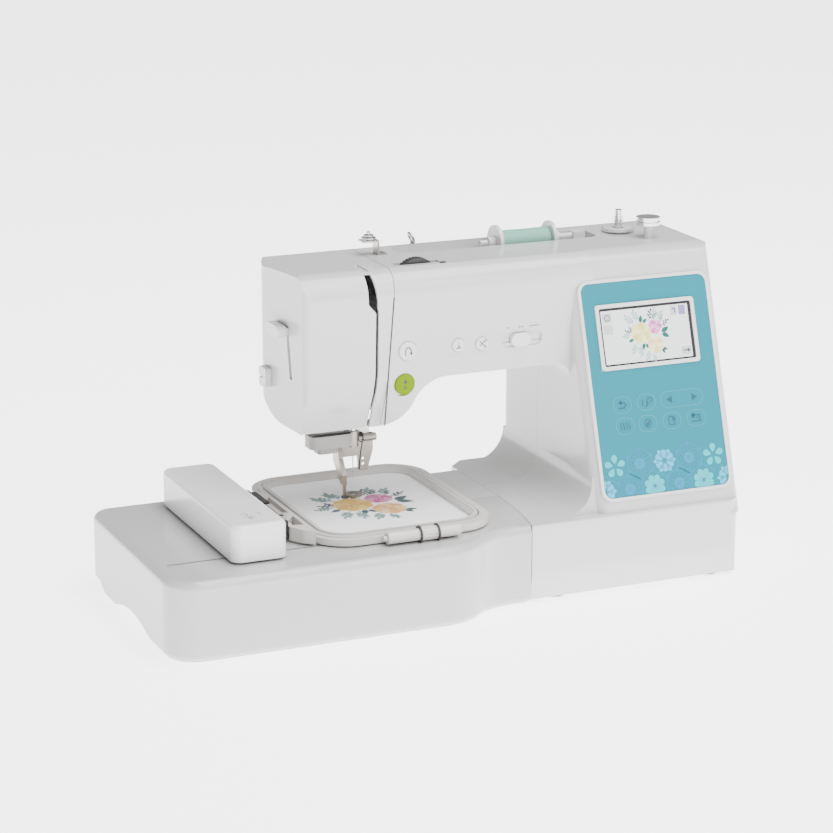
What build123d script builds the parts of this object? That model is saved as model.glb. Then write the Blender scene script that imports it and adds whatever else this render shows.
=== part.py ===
"""Computerised embroidery machine with its embroidery unit and hoop, as separate pieces.

Millimetres, +Z up, +Y to the rear, +X towards the handwheel. The origin is the centre of the
footprint on the table. Each piece is one node; identical fasteners share a node.
"""
from build123d import *
from math import atan2, cos, degrees, hypot, pi, radians, sin
import os

# ---------------------------------------------------------------- overall sizes
HALF_LENGTH = 260.0
HALF_DEPTH = 110.0
BED_TOP = 67.0            # top of the bed, the free arm and the embroidery unit
FLOOR_GAP = 3.0           # casings stand this far off the table on rubber feet
WALL = 2.5                # casing wall
SEAM = 0.3                # gap along every parting line

# ---------------------------------------------------------------- machine body
BASE_FRONT = -83.5
BASE_RIGHT = 242.5
JOINT_FRONT_X = 50.3      # the unit meets the bed along an arc between these two
JOINT_REAR_X = 60.0
COLUMN_LEFT = 112.0
COLUMN_TOP = 269.0
LEAN = 0.3197             # run per rise of the leaning column front
LEAN_FOOT_Y = -101.0      # where the leaning front would meet the table
LEAN_ANGLE = degrees(atan2(LEAN, 1.0))
ARM_FRONT = -22.5
ARM_REAR = 78.0
ARM_BOTTOM = 181.0
HEAD_LEFT = -124.0
HEAD_TOP = 270.0
HEAD_BOTTOM = 143.0
HEAD_TAPER = 5.5          # the head is this much narrower at its front
SWEEP_X0 = -51.0          # the underside sweeps up from the head to the arm between these
SWEEP_X1 = 3.0
BED_FLARE = 28.0          # fillets at the foot and head of the column's left face
ARM_FLARE = 12.0
SPLIT_Y = 36.0            # front and rear casing part here
GROOVE_X = -46.5          # groove between arm and face cover, at GROOVE_Z
GROOVE_Z = 210.0
GROOVE_SLANT = 0.0814

# ---------------------------------------------------------------- drive line
NEEDLE_X = -52.4
NEEDLE_Y = 43.0
SHAFT_Z = 212.0
SHAFT_R = 4.0
LOWER_SHAFT_Z = 30.0
HOOK_Y = 26.0
RUN = 0.05                # radial running clearance
STROKE = 31.0             # needle bar stroke
PRESSER_Y = 58.0
HOOK_R = 15.5
HOOK_GEAR_BIG = 11.2      # on the lower shaft; twice the driven gear's size
HOOK_GEAR_SMALL = 5.6
PULLEY_R = 14.0
BIG_PULLEY_R = 24.0
MOTOR_PULLEY_R = 8.0
MOTOR_Y = 82.0
MOTOR_Z = 62.0
WHEEL_R = 32.0
TAKE_UP_X = -63.8
TAKE_UP_Y = 16.0
TAKE_UP_Z = 222.0
PLATE_X0 = NEEDLE_X - 33  # needle plate and bobbin cover in the free arm's top
PLATE_X1 = NEEDLE_X + 33
PLATE_FRONT = 31.0
PLATE_REAR = 72.0
COVER_X0 = NEEDLE_X - 24
COVER_X1 = NEEDLE_X + 24
COVER_FRONT = 8.0
NEEDLE_TIP_Z = 84.5       # at the top of the stroke
FABRIC_Z = 68.9
FABRIC_T = 0.6

# ---------------------------------------------------------------- panel
PANEL_LEFT = 119.0
PANEL_RIGHT = 233.0
PANEL_LOW_Z = 78.5
PANEL_HIGH_Z = 244.5
SCREEN_LEFT = 129.5
SCREEN_RIGHT = 219.7
SCREEN_LOW_Z = 176.5
SCREEN_HIGH_Z = 227.6

# ---------------------------------------------------------------- embroidery unit
UNIT_LEFT = -HALF_LENGTH
UNIT_FRONT = -HALF_DEPTH
UNIT_REAR = 103.0
FREE_ARM_LEFT = -132.0
FREE_ARM_FRONT = 2.0
FREE_ARM_REAR = 84.0
FREE_ARM_BOTTOM = 14.0
CARRIAGE_LEFT = -202.0
CARRIAGE_RIGHT = -157.0
CARRIAGE_FRONT = -84.0
CARRIAGE_REAR = 90.0
CARRIAGE_LOW = 69.0
CARRIAGE_TOP = 98.0
CARRIAGE_TRAVEL = 50.0
SLOT_Y = -62.0
HOOP_X = -51.0
HOOP_Y = 13.5
WINDOW_X = 128.0
WINDOW_Y = 158.0
WINDOW_R = 20.0
INNER_RING = 5.0
OUTER_RING = 8.0
HOOP_LOW = 68.4
HOOP_HIGH = 75.0
HOOP_FIT = 0.4            # fabric's room between the two hoop frames
HOLDER_X = -142.0         # right face of the holder, where the hoop's bracket meets it
HOLDER_Y0 = -46.0
HOLDER_Y1 = 48.0
LEVER_X = -146.0
LEVER_Y = -38.0
LUG_X0 = -75.5
LUG_X1 = -14.0
NUT_X0 = -47.6
NUT_X1 = -33.8
SCREW_Y = -84.0
SCREW_Z = 73.2
RAIL_X0 = -256.0          # carriage drive inside the unit
RAIL_X1 = -102.0
RAIL_Y = -36.0
RAIL_Z = 40.0
RAIL_R = 4.0
BELT_Y = -14.0
MOTOR_X = -84.0
IDLER_X = -246.0
DRIVE_PULLEY_R = 6.0
Y_ROD_X = -181.0
Y_ROD_Z = 83.0
Y_ROD_R = 3.0

# ---------------------------------------------------------------- controls and small items
BUTTONS = {"reverse_button": (-31.5, 204.8, 7.7), "start_stop_button": (-34.1, 178.0, 8.5),
           "needle_position_button": (12.2, 205.3, 5.5), "thread_cut_button": (32.8, 204.5, 5.5)}
SLIDER_X0 = 51.7
SLIDER_X1 = 85.5
SLIDER_Z = 205.0
DIAL_X = -13.5
DIAL_Y = 3.0
DIAL_R = 18.0
DIAL_Z = 256.0
PANEL_MID_Z = (PANEL_LOW_Z + PANEL_HIGH_Z) / 2
PANEL_SLANT = (PANEL_HIGH_Z - PANEL_LOW_Z) / cos(radians(LEAN_ANGLE))
SCREEN_MID_X = (SCREEN_LEFT + SCREEN_RIGHT) / 2
SCREEN_MID_Z = (SCREEN_LOW_Z + SCREEN_HIGH_Z) / 2
SCREEN_WIDE = SCREEN_RIGHT - SCREEN_LEFT
SCREEN_SLANT = (SCREEN_HIGH_Z - SCREEN_LOW_Z) / cos(radians(LEAN_ANGLE))
RECESS_LEFT = -12.0       # spool recess in the top
RECESS_RIGHT = 168.0
RECESS_FRONT = 39.0
RECESS_REAR = 70.0
RECESS_FLOOR = 252.0
SPOOL_Y = 54.5
SPOOL_Z = 268.5
WINDER_X = 191.5
WINDER_Y = 50.0
STOP_X = 203.5
STOP_Y = 20.0
THREADER_Y = 11.0
THREADER_Z = 222.0
THREADER_TRAVEL = 34.0
THREADER_SLANT = 0.157
LIFTER_X = -36.0          # pivot of the presser lever
LIFTER_Z = 171.0
SWITCH_Y = 52.0
INLET_Y = 82.0
INLET_Z = 32.0
FOOT_PLACES = [(80.0, -62.0), (222.0, -62.0), (82.0, 90.0), (222.0, 90.0),
               (-222.0, -88.0), (-40.0, -88.0), (-150.0, 82.0), (20.0, -62.0)]


# ---------------------------------------------------------------- helpers
def block(x0, x1, y0, y1, z0, z1):
    """Box between two corners."""
    size = Box(x1 - x0, y1 - y0, z1 - z0)
    return Pos((x0 + x1) / 2, (y0 + y1) / 2, (z0 + z1) / 2) * size


def rod(axis, a, b, start, end, radius):
    """Cylinder along X, Y or Z from start to end; a and b are the other two coordinates in order."""
    middle = (start + end) / 2
    length = end - start
    if axis == "X":
        return Pos(middle, a, b) * Rot(0, 90, 0) * Cylinder(radius, length)
    if axis == "Y":
        return Pos(a, middle, b) * Rot(90, 0, 0) * Cylinder(radius, length)
    return Pos(a, b, middle) * Cylinder(radius, length)


def tube(axis, a, b, start, end, outer, inner):
    """Hollow cylinder."""
    return rod(axis, a, b, start, end, outer) - rod(axis, a, b, start - 1, end + 1, inner)


def front_prism(outline, y0, y1):
    """Outline of (x, z) points or a face drawn in X and Z, extruded from y0 to y1."""
    face = outline if isinstance(outline, (Face, Sketch)) else make_face(Polyline(*outline, close=True))
    return Pos(0, y1, 0) * Rot(90, 0, 0) * extrude(face, y1 - y0)


def side_prism(outline, x0, x1):
    """Outline of (y, z) points or a face drawn in Y and Z, extruded from x0 to x1."""
    face = outline if isinstance(outline, (Face, Sketch)) else make_face(Polyline(*outline, close=True))
    return Pos(x0, 0, 0) * Rot(0, 0, 90) * Rot(90, 0, 0) * extrude(face, x1 - x0)


def plan_prism(outline, z0, z1):
    """Outline of (x, y) points or a face drawn in X and Y, extruded from z0 to z1."""
    face = outline if isinstance(outline, (Face, Sketch)) else make_face(Polyline(*outline, close=True))
    return Pos(0, 0, z0) * extrude(face, z1 - z0)


def rounded(points, radii):
    """Closed polygon face whose corners are rounded; a radius of 0 leaves a corner sharp."""
    face = make_face(Polyline(*points, close=True))
    for point, radius in zip(points, radii):
        if radius:
            corner = min(face.vertices(), key=lambda v: hypot(v.X - point[0], v.Y - point[1]))
            face = fillet(corner, radius)
    return face


def rounded_box(x0, x1, y0, y1, z0, z1, radius, top=0.0):
    """Box with rounded vertical corners and, if top is given, a rounded top edge."""
    face = RectangleRounded(x1 - x0, y1 - y0, radius)
    solid = Pos((x0 + x1) / 2, (y0 + y1) / 2, z0) * extrude(face, z1 - z0)
    if top:
        solid = fillet(solid.edges().group_by(Axis.Z)[-1], top)
    return solid


def s_curve(start, end):
    """Two equal arcs from start to end, level with the first axis at both ends."""
    middle = ((start[0] + end[0]) / 2, (start[1] + end[1]) / 2)
    first = TangentArc(start, middle, tangent=(1, 0))
    return first, TangentArc(middle, end, tangent=first % 1)


def shrink(face, amount):
    """The same face, moved in by an amount all round."""
    return offset(face, -amount) if amount else face


def write(name, shape):
    """One STEP file per node."""
    shape.label = name
    export_step(shape, f"parts/{name}.step")


def lean_y(z):
    """Y of the leaning column front at height z."""
    return LEAN * z + LEAN_FOOT_Y


def on_panel(x, z, depth):
    """Location on the leaning front at (x, z), depth mm outside it, its own Z pointing outwards."""
    outward = Vector(0, -cos(radians(LEAN_ANGLE)), sin(radians(LEAN_ANGLE)))
    origin = Vector(x, lean_y(z), z) + outward * depth
    return Location(Plane(origin=origin, x_dir=(1, 0, 0), z_dir=outward))


# ---------------------------------------------------------------- machine casings
def base_plan():
    """Footprint of the base; its left side is the arc along which the unit meets it."""
    left = ThreePointArc((JOINT_FRONT_X, BASE_FRONT), (57.4, -42), (JOINT_REAR_X, 1))
    outline = [left, Line((JOINT_REAR_X, 1), (JOINT_REAR_X, HALF_DEPTH - 14))]
    outline.append(Line((JOINT_REAR_X, HALF_DEPTH - 14), (JOINT_REAR_X + 14, HALF_DEPTH)))
    outline.append(Line((JOINT_REAR_X + 14, HALF_DEPTH), (BASE_RIGHT, HALF_DEPTH)))
    outline.append(Line((BASE_RIGHT, HALF_DEPTH), (BASE_RIGHT, BASE_FRONT)))
    outline.append(Line((BASE_RIGHT, BASE_FRONT), (JOINT_FRONT_X, BASE_FRONT)))
    face = make_face(outline)
    corners = [v for v in face.vertices() if v.X > BASE_RIGHT - 1]
    return fillet(corners, 15)


def base_solid(inset):
    """Base block with a front and sides that draw in towards the table."""
    low = FLOOR_GAP - 2 * inset
    block_up = plan_prism(shrink(base_plan(), inset), low, BED_TOP - inset)
    side = rounded([(BASE_FRONT + 7, low - 1), (BASE_FRONT, 24), (BASE_FRONT, BED_TOP),
                    (HALF_DEPTH, BED_TOP), (HALF_DEPTH, low - 1)], [0, 30, 1.5, 0, 0])
    return block_up & side_prism(shrink(side, inset), 0, HALF_LENGTH)


def column_solid(inset):
    """Column whose front leans back and whose rear stands upright."""
    width = BASE_RIGHT + 0.5 - COLUMN_LEFT
    foot = RectangleRounded(width - 2 * inset, 300, 11 - inset)
    run = inset / cos(radians(LEAN_ANGLE))
    leaning = extrude(foot, COLUMN_TOP + 20, dir=(0, LEAN, 1))
    leaning = Pos(COLUMN_LEFT + width / 2, LEAN_FOOT_Y + run + 150, 0) * leaning
    upright = rounded([(COLUMN_LEFT, -120), (BASE_RIGHT + 0.5, -120), (BASE_RIGHT + 0.5, HALF_DEPTH),
                       (COLUMN_LEFT, HALF_DEPTH)], [0, 0, 22, 14])
    top_side = rounded([(-120, BED_TOP - 12), (-120, 246), (ARM_FRONT, 246), (ARM_FRONT, COLUMN_TOP),
                        (HALF_DEPTH, COLUMN_TOP), (HALF_DEPTH, BED_TOP - 12)], [0, 0, 0, 20, 28, 0])
    top_front = rounded([(COLUMN_LEFT - 1, 40), (COLUMN_LEFT - 1, COLUMN_TOP), (BASE_RIGHT + 0.5, COLUMN_TOP),
                         (BASE_RIGHT + 0.5, 40)], [0, 0, 5, 0])
    column = leaning & plan_prism(shrink(upright, inset), 40, 300)
    column = column & side_prism(shrink(top_side, inset), 60, 250)
    return column & front_prism(shrink(top_front, inset), -120, 120)


def arm_outline():
    """Front view of the arm and head, with the swept curve under the arm."""
    edges = [Line((HEAD_LEFT, HEAD_BOTTOM), (SWEEP_X0, HEAD_BOTTOM)),
             *s_curve((SWEEP_X0, HEAD_BOTTOM), (SWEEP_X1, ARM_BOTTOM)),
             Line((SWEEP_X1, ARM_BOTTOM), (COLUMN_LEFT + 20, ARM_BOTTOM)),
             Line((COLUMN_LEFT + 20, ARM_BOTTOM), (COLUMN_LEFT + 20, COLUMN_TOP)),
             Line((COLUMN_LEFT + 20, COLUMN_TOP), (HEAD_LEFT, HEAD_TOP)),
             Line((HEAD_LEFT, HEAD_TOP), (HEAD_LEFT, HEAD_BOTTOM))]
    face = make_face(edges)
    crest = [v for v in face.vertices() if v.X < HEAD_LEFT + 1 and v.Y > 200]
    return fillet(crest, 9)


def arm_solid(inset):
    """Arm and head together."""
    side = rounded([(ARM_FRONT + 10, HEAD_BOTTOM - 0.1), (ARM_FRONT, 178), (ARM_FRONT, HEAD_TOP),
                    (ARM_REAR, HEAD_TOP), (ARM_REAR, HEAD_BOTTOM - 0.1)], [0, 60, 20, 9, 54])
    plan = rounded([(HEAD_LEFT + HEAD_TAPER, ARM_FRONT), (COLUMN_LEFT + 20, ARM_FRONT),
                    (COLUMN_LEFT + 20, HALF_DEPTH - 2), (70, ARM_REAR), (HEAD_LEFT, ARM_REAR)],
                   [6, 0, 0, 60, 20])
    arm = front_prism(shrink(arm_outline(), inset), -60, 120)
    arm = arm & side_prism(shrink(side, inset), -150, 160)
    return arm & plan_prism(shrink(plan, inset), 100, 300)


def flare(z, rise, radius, inset):
    """Section of a concave corner fillet at the column's left face; rise is +1 above z, -1 below."""
    centre_x = COLUMN_LEFT - radius
    centre_z = z + rise * radius
    reach = radius + inset
    far_x = COLUMN_LEFT + 11
    bottom = (centre_x, z - rise * inset)
    middle = (centre_x + reach * sin(pi / 4), centre_z - rise * reach * cos(pi / 4))
    top = (centre_x + reach, centre_z)
    deep_z = z - rise * (inset + 2)
    return make_face([ThreePointArc(bottom, middle, top), Line(top, (far_x, centre_z)),
                      Line((far_x, centre_z), (far_x, deep_z)), Line((far_x, deep_z), (centre_x, deep_z)),
                      Line((centre_x, deep_z), bottom)])


def column_flares(inset):
    """Concave fillets from the column's left face to the bed and to the arm."""
    run = inset / cos(radians(LEAN_ANGLE)) + 6
    bed = front_prism(flare(BED_TOP, 1, BED_FLARE, inset), -90, 108)
    lean_cut = side_prism([(lean_y(50) + run, 50), (lean_y(110) + run, 110), (104 - inset, 110),
                           (104 - inset, 50)], 60, 140)
    arm = front_prism(flare(ARM_BOTTOM, -1, ARM_FLARE, inset), ARM_FRONT + inset, 95 - inset)
    return bed & lean_cut, arm


def machine_casings():
    """Front casing, rear casing and face cover, cut from one hollow body."""
    outer = base_solid(0) + column_solid(0) + arm_solid(0)
    inner = base_solid(WALL) + column_solid(WALL) + arm_solid(WALL)
    for corner in column_flares(0):
        outer = outer + corner
    for corner in column_flares(WALL):
        inner = inner + corner
    recess = rounded_box(RECESS_LEFT, RECESS_RIGHT, RECESS_FRONT, RECESS_REAR, RECESS_FLOOR, 300, 8)
    tub = rounded_box(RECESS_LEFT - WALL, RECESS_RIGHT + WALL, RECESS_FRONT - WALL, RECESS_REAR + WALL,
                      RECESS_FLOOR - WALL, 300, 10)
    shell = outer - recess - (inner - tub)
    shell = shell - block(55, JOINT_REAR_X + 4, FREE_ARM_FRONT + 3, FREE_ARM_REAR - 3, 17, BED_TOP - 3)
    shell = shell - block(-104, -42, 2, 52, 140, 153) - block(-62, -42, 50, 64, 140, 168)
    far = 400
    left_of_groove = [(-far, 100), (groove_x(100), 100), (groove_x(300), 300), (-far, 300)]
    gap = [(x + 2 * SEAM if x > -far else x, z) for x, z in left_of_groove]
    cover = shell & front_prism(left_of_groove, -100, 120)
    casing = shell - front_prism(gap, -100, 120)
    front = casing & block(-far, far, -far, SPLIT_Y, 0, far)
    rear = casing & block(-far, far, SPLIT_Y + SEAM, far, 0, far)
    return largest(front), largest(rear), largest(cover)


def groove_x(z):
    """X of the groove between arm and face cover."""
    return GROOVE_X + GROOVE_SLANT * (z - GROOVE_Z)


def largest(shape):
    """The biggest solid of a shape."""
    return max(shape.solids(), key=lambda s: s.volume)


def button_hole(x, z, radius):
    """Through hole for a round button in the arm's front wall."""
    bore = rod("Y", x, z, ARM_FRONT - 5, ARM_FRONT + WALL + 2, radius + 0.3)
    return bore + rod("Y", x, z, ARM_FRONT + WALL, ARM_FRONT + WALL + 4, radius + 1.9)


def cut_front_casing(casing):
    """Openings for buttons, slider, dial, panel, screen and shafts."""
    for x, z, radius in BUTTONS.values():
        casing = casing - button_hole(x, z, radius)
    casing = casing - block(SLIDER_X0, SLIDER_X1, ARM_FRONT - 5, ARM_FRONT + 5,
                            SLIDER_Z - 2.5, SLIDER_Z + 2.5)
    track = rounded_box(SLIDER_X0 - 1, SLIDER_X1 + 1, SLIDER_Z - 6, SLIDER_Z + 6, 0, 1.2, 5.9)
    casing = casing - Pos(0, ARM_FRONT + 1.2, 0) * Rot(90, 0, 0) * track
    casing = casing - block(DIAL_X - DIAL_R - 1.5, DIAL_X + DIAL_R + 1.5,
                            DIAL_Y - 4.2, DIAL_Y + 4.2, 250, 290)
    panel_x = (PANEL_LEFT + PANEL_RIGHT) / 2
    seat = on_panel(panel_x, PANEL_MID_Z, -1.5) * extrude(
        RectangleRounded(PANEL_RIGHT - PANEL_LEFT + 5.6, PANEL_SLANT + 5.6, 9.5), 6)
    window = on_panel(SCREEN_MID_X, SCREEN_MID_Z, -8) * Box(SCREEN_WIDE, SCREEN_SLANT, 20)
    ribbon = on_panel(panel_x, 130, -8) * Box(60, 4, 20)
    return casing - seat - window - ribbon


def cut_rear_casing(casing):
    """Openings for the winder shaft, handwheel shaft, switch and inlet, and vent slots in the rear."""
    casing = casing - rounded_box(WINDER_X - 5, WINDER_X + 9, WINDER_Y - 5, WINDER_Y + 5, 262, 280, 4.9)
    casing = casing - rod("X", NEEDLE_Y, SHAFT_Z, 235, 250, 6)
    casing = casing - block(235, 250, SWITCH_Y - 10, SWITCH_Y + 10, INLET_Z - 7, INLET_Z + 7)
    casing = casing - block(235, 250, INLET_Y - 14, INLET_Y + 14, INLET_Z - 10, INLET_Z + 10)
    casing = casing - rod("Y", LIFTER_X, LIFTER_Z, 58, 90, 4.3)
    for row in range(7):
        z = 40 + 9 * row
        casing = casing - block(150, 205, 100, 120, z, z + 3)
    return casing


def cut_face_cover(cover):
    """Thread slot, take-up opening, threader slot and the window of the cutter."""
    slot = [(-55.9, 240), (-58.3, 240), (-59.2, 188), (-64.0, 138), (-61.4, 138), (-56.7, 188)]
    cover = cover - front_prism(slot, -40, -5)
    opening = [(-59.3, 267), (-65.0, 267), (-64.6, 245), (-58.0, 237.5), (-56.6, 237.5), (-56.6, 247)]
    cover = cover - front_prism(opening, -40, 4)
    cover = cover - block(-64, -59.3, -12, 14, HEAD_TOP - 1.3, HEAD_TOP + 5)
    cover = cover - side_prism(threader_slot(1.0), -130, -112)
    return cover - block(-130, -117, 43, 57, 169, 184)


def threader_slot(margin):
    """Slanting slot, in Y and Z, that the threader lever runs in."""
    low_z = THREADER_Z - THREADER_TRAVEL - 3 - margin
    high_z = THREADER_Z + 3 + margin
    return [(threader_y(low_z) - 2 - margin / 2, low_z), (threader_y(low_z) + 2 + margin / 2, low_z),
            (threader_y(high_z) + 2 + margin / 2, high_z), (threader_y(high_z) - 2 - margin / 2, high_z)]


def threader_y(z):
    """Y of the middle of the threader slot."""
    return THREADER_Y + THREADER_SLANT * (z - THREADER_Z)


# ---------------------------------------------------------------- machine: fixed pieces
def base_pan():
    """Floor of the machine with a raised rim and screw bosses."""
    pan = plan_prism(shrink(base_plan(), WALL + 6.5), FLOOR_GAP, FLOOR_GAP + 8)
    pan = pan - plan_prism(shrink(base_plan(), WALL + 8.5), FLOOR_GAP + 2.5, FLOOR_GAP + 9)
    for x, y in FOOT_PLACES[:4]:
        pan = pan + rod("Z", x, y, FLOOR_GAP, FLOOR_GAP + 8, 5)
        pan = pan - rod("Z", x, y, FLOOR_GAP - 1, FLOOR_GAP + 9, 1.6)
    return pan


def rubber_feet():
    """Feet of the machine and of the unit."""
    feet = [tube("Z", x, y, 0, FLOOR_GAP, 9, 3.2) for x, y in FOOT_PLACES]
    return Compound(children=feet)


def casing_screws():
    """Screws up through the machine's feet."""
    return Compound(children=[rod("Z", x, y, 1.4, 2.9, 2.8) + rod("Z", x, y, 2.9, FLOOR_GAP + 9, 1.6)
                              for x, y in FOOT_PLACES[:4]])


def free_arm_cover():
    """Hollow free arm, open at its right end, with openings for the plate and the bobbin."""
    low = FREE_ARM_BOTTOM
    outer = rounded_box(FREE_ARM_LEFT, 90, FREE_ARM_FRONT, FREE_ARM_REAR, low, BED_TOP, 8)
    inner = rounded_box(FREE_ARM_LEFT + WALL, 95, FREE_ARM_FRONT + WALL, FREE_ARM_REAR - WALL,
                        low + WALL, BED_TOP - WALL, 6)
    arm = (outer - inner) & block(FREE_ARM_LEFT - 1, JOINT_REAR_X - SEAM, -50, 150, 0, 100)
    arm = arm - block(PLATE_X0, PLATE_X1, PLATE_FRONT, PLATE_REAR, BED_TOP - 2, BED_TOP + 5)
    arm = arm - block(PLATE_X0 + 6, PLATE_X1 - 6, PLATE_FRONT - 1, PLATE_REAR - 6, 60, BED_TOP + 5)
    arm = arm - block(COVER_X0, COVER_X1, COVER_FRONT, PLATE_FRONT + 1, BED_TOP - 2, BED_TOP + 5)
    return arm - block(COVER_X0 + 3, COVER_X1 - 3, COVER_FRONT + 3, PLATE_FRONT + 2, 60, BED_TOP + 5)


def needle_plate():
    """Steel plate with the needle hole, the feed slots and two screws' countersinks."""
    plate = block(PLATE_X0 + 0.2, PLATE_X1 - 0.2, PLATE_FRONT + 0.3, PLATE_REAR - 0.2, BED_TOP - 1.9, BED_TOP)
    plate = plate - block(NEEDLE_X - 3.5, NEEDLE_X + 3.5, NEEDLE_Y - 0.9, NEEDLE_Y + 0.9, 60, 70)
    for side in (-1, 1):
        x = NEEDLE_X + side * 8
        plate = plate - block(x - 2, x + 2, NEEDLE_Y - 9, NEEDLE_Y + 13, 60, 70)
        plate = plate - rod("Z", NEEDLE_X + side * 24, PLATE_REAR - 6, BED_TOP - 0.8, BED_TOP + 1, 2.6)
    return plate


def bobbin_cover():
    """Clear sliding cover over the bobbin, with a finger notch."""
    cover = block(COVER_X0 + 0.2, COVER_X1 - 0.2, COVER_FRONT + 0.2, PLATE_FRONT + 0.1,
                  BED_TOP - 1.9, BED_TOP)
    return cover - rod("Z", COVER_X1 - 8, COVER_FRONT + 6, BED_TOP - 0.7, BED_TOP + 1, 3)


def chassis():
    """Cast frame: floor rail, post and arm beam, with the bearings of every shaft."""
    floor = block(-75, 212, 14, 30, 17, 22) + block(120, 212, 12, 100, 17, 22)
    post = block(150, 200, 5, 28, 17, 200)
    beam = block(-62, 212, 5, 20, 190, 200)
    frame = floor + post + beam + block(150, 200, 5, 30, 17, 22)
    for x in (-30, 66, 205):
        frame = frame + block(x, x + 5, 14, 50, 17, 38)
    for x in (-28, 60, 120, 205):
        frame = frame + block(x, x + 6, 5, 51, 190, 222)
    frame = frame + block(NEEDLE_X - 9, NEEDLE_X + 9, 5, 63, 165, 172)
    frame = frame + block(NEEDLE_X - 9, NEEDLE_X + 9, 5, 66, 236, 242)
    frame = frame + block(NEEDLE_X - 9, NEEDLE_X + 9, 5, 12, 165, 242)
    frame = frame + block(-75, -32, 11, 31, 37, 41) + block(-75, -32, 10, 14, 17, 41)
    frame = frame + block(140, 196, 70, 94, 20, 46) - rod("X", MOTOR_Y, MOTOR_Z, 130, 230, 21.05)
    frame = frame + rod("X", TAKE_UP_Y, TAKE_UP_Z, -65, -60, 3) + block(NEEDLE_X - 9, -59, 8, 20, 215, 229)
    frame = frame + rod("Y", DIAL_X, DIAL_Z, DIAL_Y - 6, DIAL_Y + 8, 3)
    frame = frame + block(DIAL_X - 6, DIAL_X + 6, DIAL_Y + 5, DIAL_Y + 8, 195, DIAL_Z + 4)
    frame = frame - rod("X", NEEDLE_Y, SHAFT_Z, -80, 230, SHAFT_R + RUN)
    frame = frame - rod("X", NEEDLE_Y, LOWER_SHAFT_Z, -80, 230, SHAFT_R + RUN)
    frame = frame - rod("Z", NEEDLE_X, NEEDLE_Y, 160, 250, 3 + RUN)
    frame = frame - rod("Z", NEEDLE_X, PRESSER_Y, 160, 250, 3 + RUN)
    return frame - rod("Z", NEEDLE_X, HOOK_Y, 10, 45, 3 + RUN)


def operation_panel():
    """Coloured overlay with the printed membrane keys, cut out for the screen."""
    middle = on_panel((PANEL_LEFT + PANEL_RIGHT) / 2, PANEL_MID_Z, 0)
    sheet = middle * extrude(RectangleRounded(PANEL_RIGHT - PANEL_LEFT, PANEL_SLANT, 7), 0.8)
    return sheet - on_panel(SCREEN_MID_X, SCREEN_MID_Z, 0) * Box(SCREEN_WIDE + 0.2, SCREEN_SLANT + 0.2, 20)


def panel_frame():
    """White moulding that carries the overlay, with its outer rim and the raised rim of the screen."""
    middle = on_panel((PANEL_LEFT + PANEL_RIGHT) / 2, PANEL_MID_Z, -1.4)
    wide = PANEL_RIGHT - PANEL_LEFT
    frame = extrude(RectangleRounded(wide + 5.4, PANEL_SLANT + 5.4, 9.4), 2.6)
    rebate = extrude(RectangleRounded(wide + 0.2, PANEL_SLANT + 0.2, 7.1), 3)
    frame = middle * (frame - Pos(0, 0, 1.35) * rebate)
    screen = on_panel(SCREEN_MID_X, SCREEN_MID_Z, 0)
    frame = frame + screen * Pos(0, 0, -1.4) * extrude(RectangleRounded(SCREEN_WIDE, SCREEN_SLANT, 3), 3.2)
    window = extrude(RectangleRounded(SCREEN_WIDE - 6.4, SCREEN_SLANT - 6.4, 1.5), 20)
    return frame - screen * Pos(0, 0, -10) * window


def touch_screen():
    """Screen glass on its display module."""
    middle = on_panel(SCREEN_MID_X, SCREEN_MID_Z, 0)
    glass = Pos(0, 0, -0.6) * extrude(RectangleRounded(SCREEN_WIDE - 6.6, SCREEN_SLANT - 6.6, 1.4), 1.6)
    module = Pos(0, 0, -7) * extrude(RectangleRounded(SCREEN_WIDE - 7.6, SCREEN_SLANT - 7.6, 1), 6.4)
    return middle * (glass + module)


def control_board():
    """Circuit board behind the panel, with its larger components."""
    middle = on_panel((PANEL_LEFT + PANEL_RIGHT) / 2, PANEL_MID_Z - 5, -12.5)
    board = middle * Box(100, 150, 1.6)
    for x, y, wide, high in ((-30, -40, 18, 18), (10, -45, 26, 10), (28, -20, 12, 22), (-15, -10, 14, 8)):
        board = board + middle * Pos(x, y, -2.3) * Box(wide, high, 3)
    return board


def main_motor():
    """Motor can with end caps."""
    can = rod("X", MOTOR_Y, MOTOR_Z, 142, 194, 21)
    return can + rod("X", MOTOR_Y, MOTOR_Z, 194, 199, 9) + rod("X", MOTOR_Y, MOTOR_Z, 137, 142, 9) \
        - rod("X", MOTOR_Y, MOTOR_Z, 180, 210, 2 + RUN)


def belt(y0, z0, r0, y1, z1, r1, x0, x1):
    """Flat loop round two wheels in the Y-Z plane."""
    distance = hypot(y1 - y0, z1 - z0)
    turn = degrees(atan2(z1 - z0, y1 - y0))
    loops = []
    for extra in (RUN, RUN + 1.5):
        big = Circle(r0 + extra)
        small = Pos(distance, 0) * Circle(r1 + extra)
        offset_angle = degrees(atan2(r0 - r1, distance))
        c = cos(radians(90 - offset_angle))
        s = sin(radians(90 - offset_angle))
        a = r0 + extra
        b = r1 + extra
        web = make_face(Polyline((a * c, a * s), (distance + b * c, b * s), (distance + b * c, -b * s),
                                 (a * c, -a * s), close=True))
        loops.append(extrude(Rot(0, 0, turn) * (big + small + web), x1 - x0))
    loop = Pos(y0, z0, 0) * (loops[1] - loops[0])
    return Pos(x0, 0, 0) * Rot(0, 0, 90) * Rot(90, 0, 0) * loop


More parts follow.
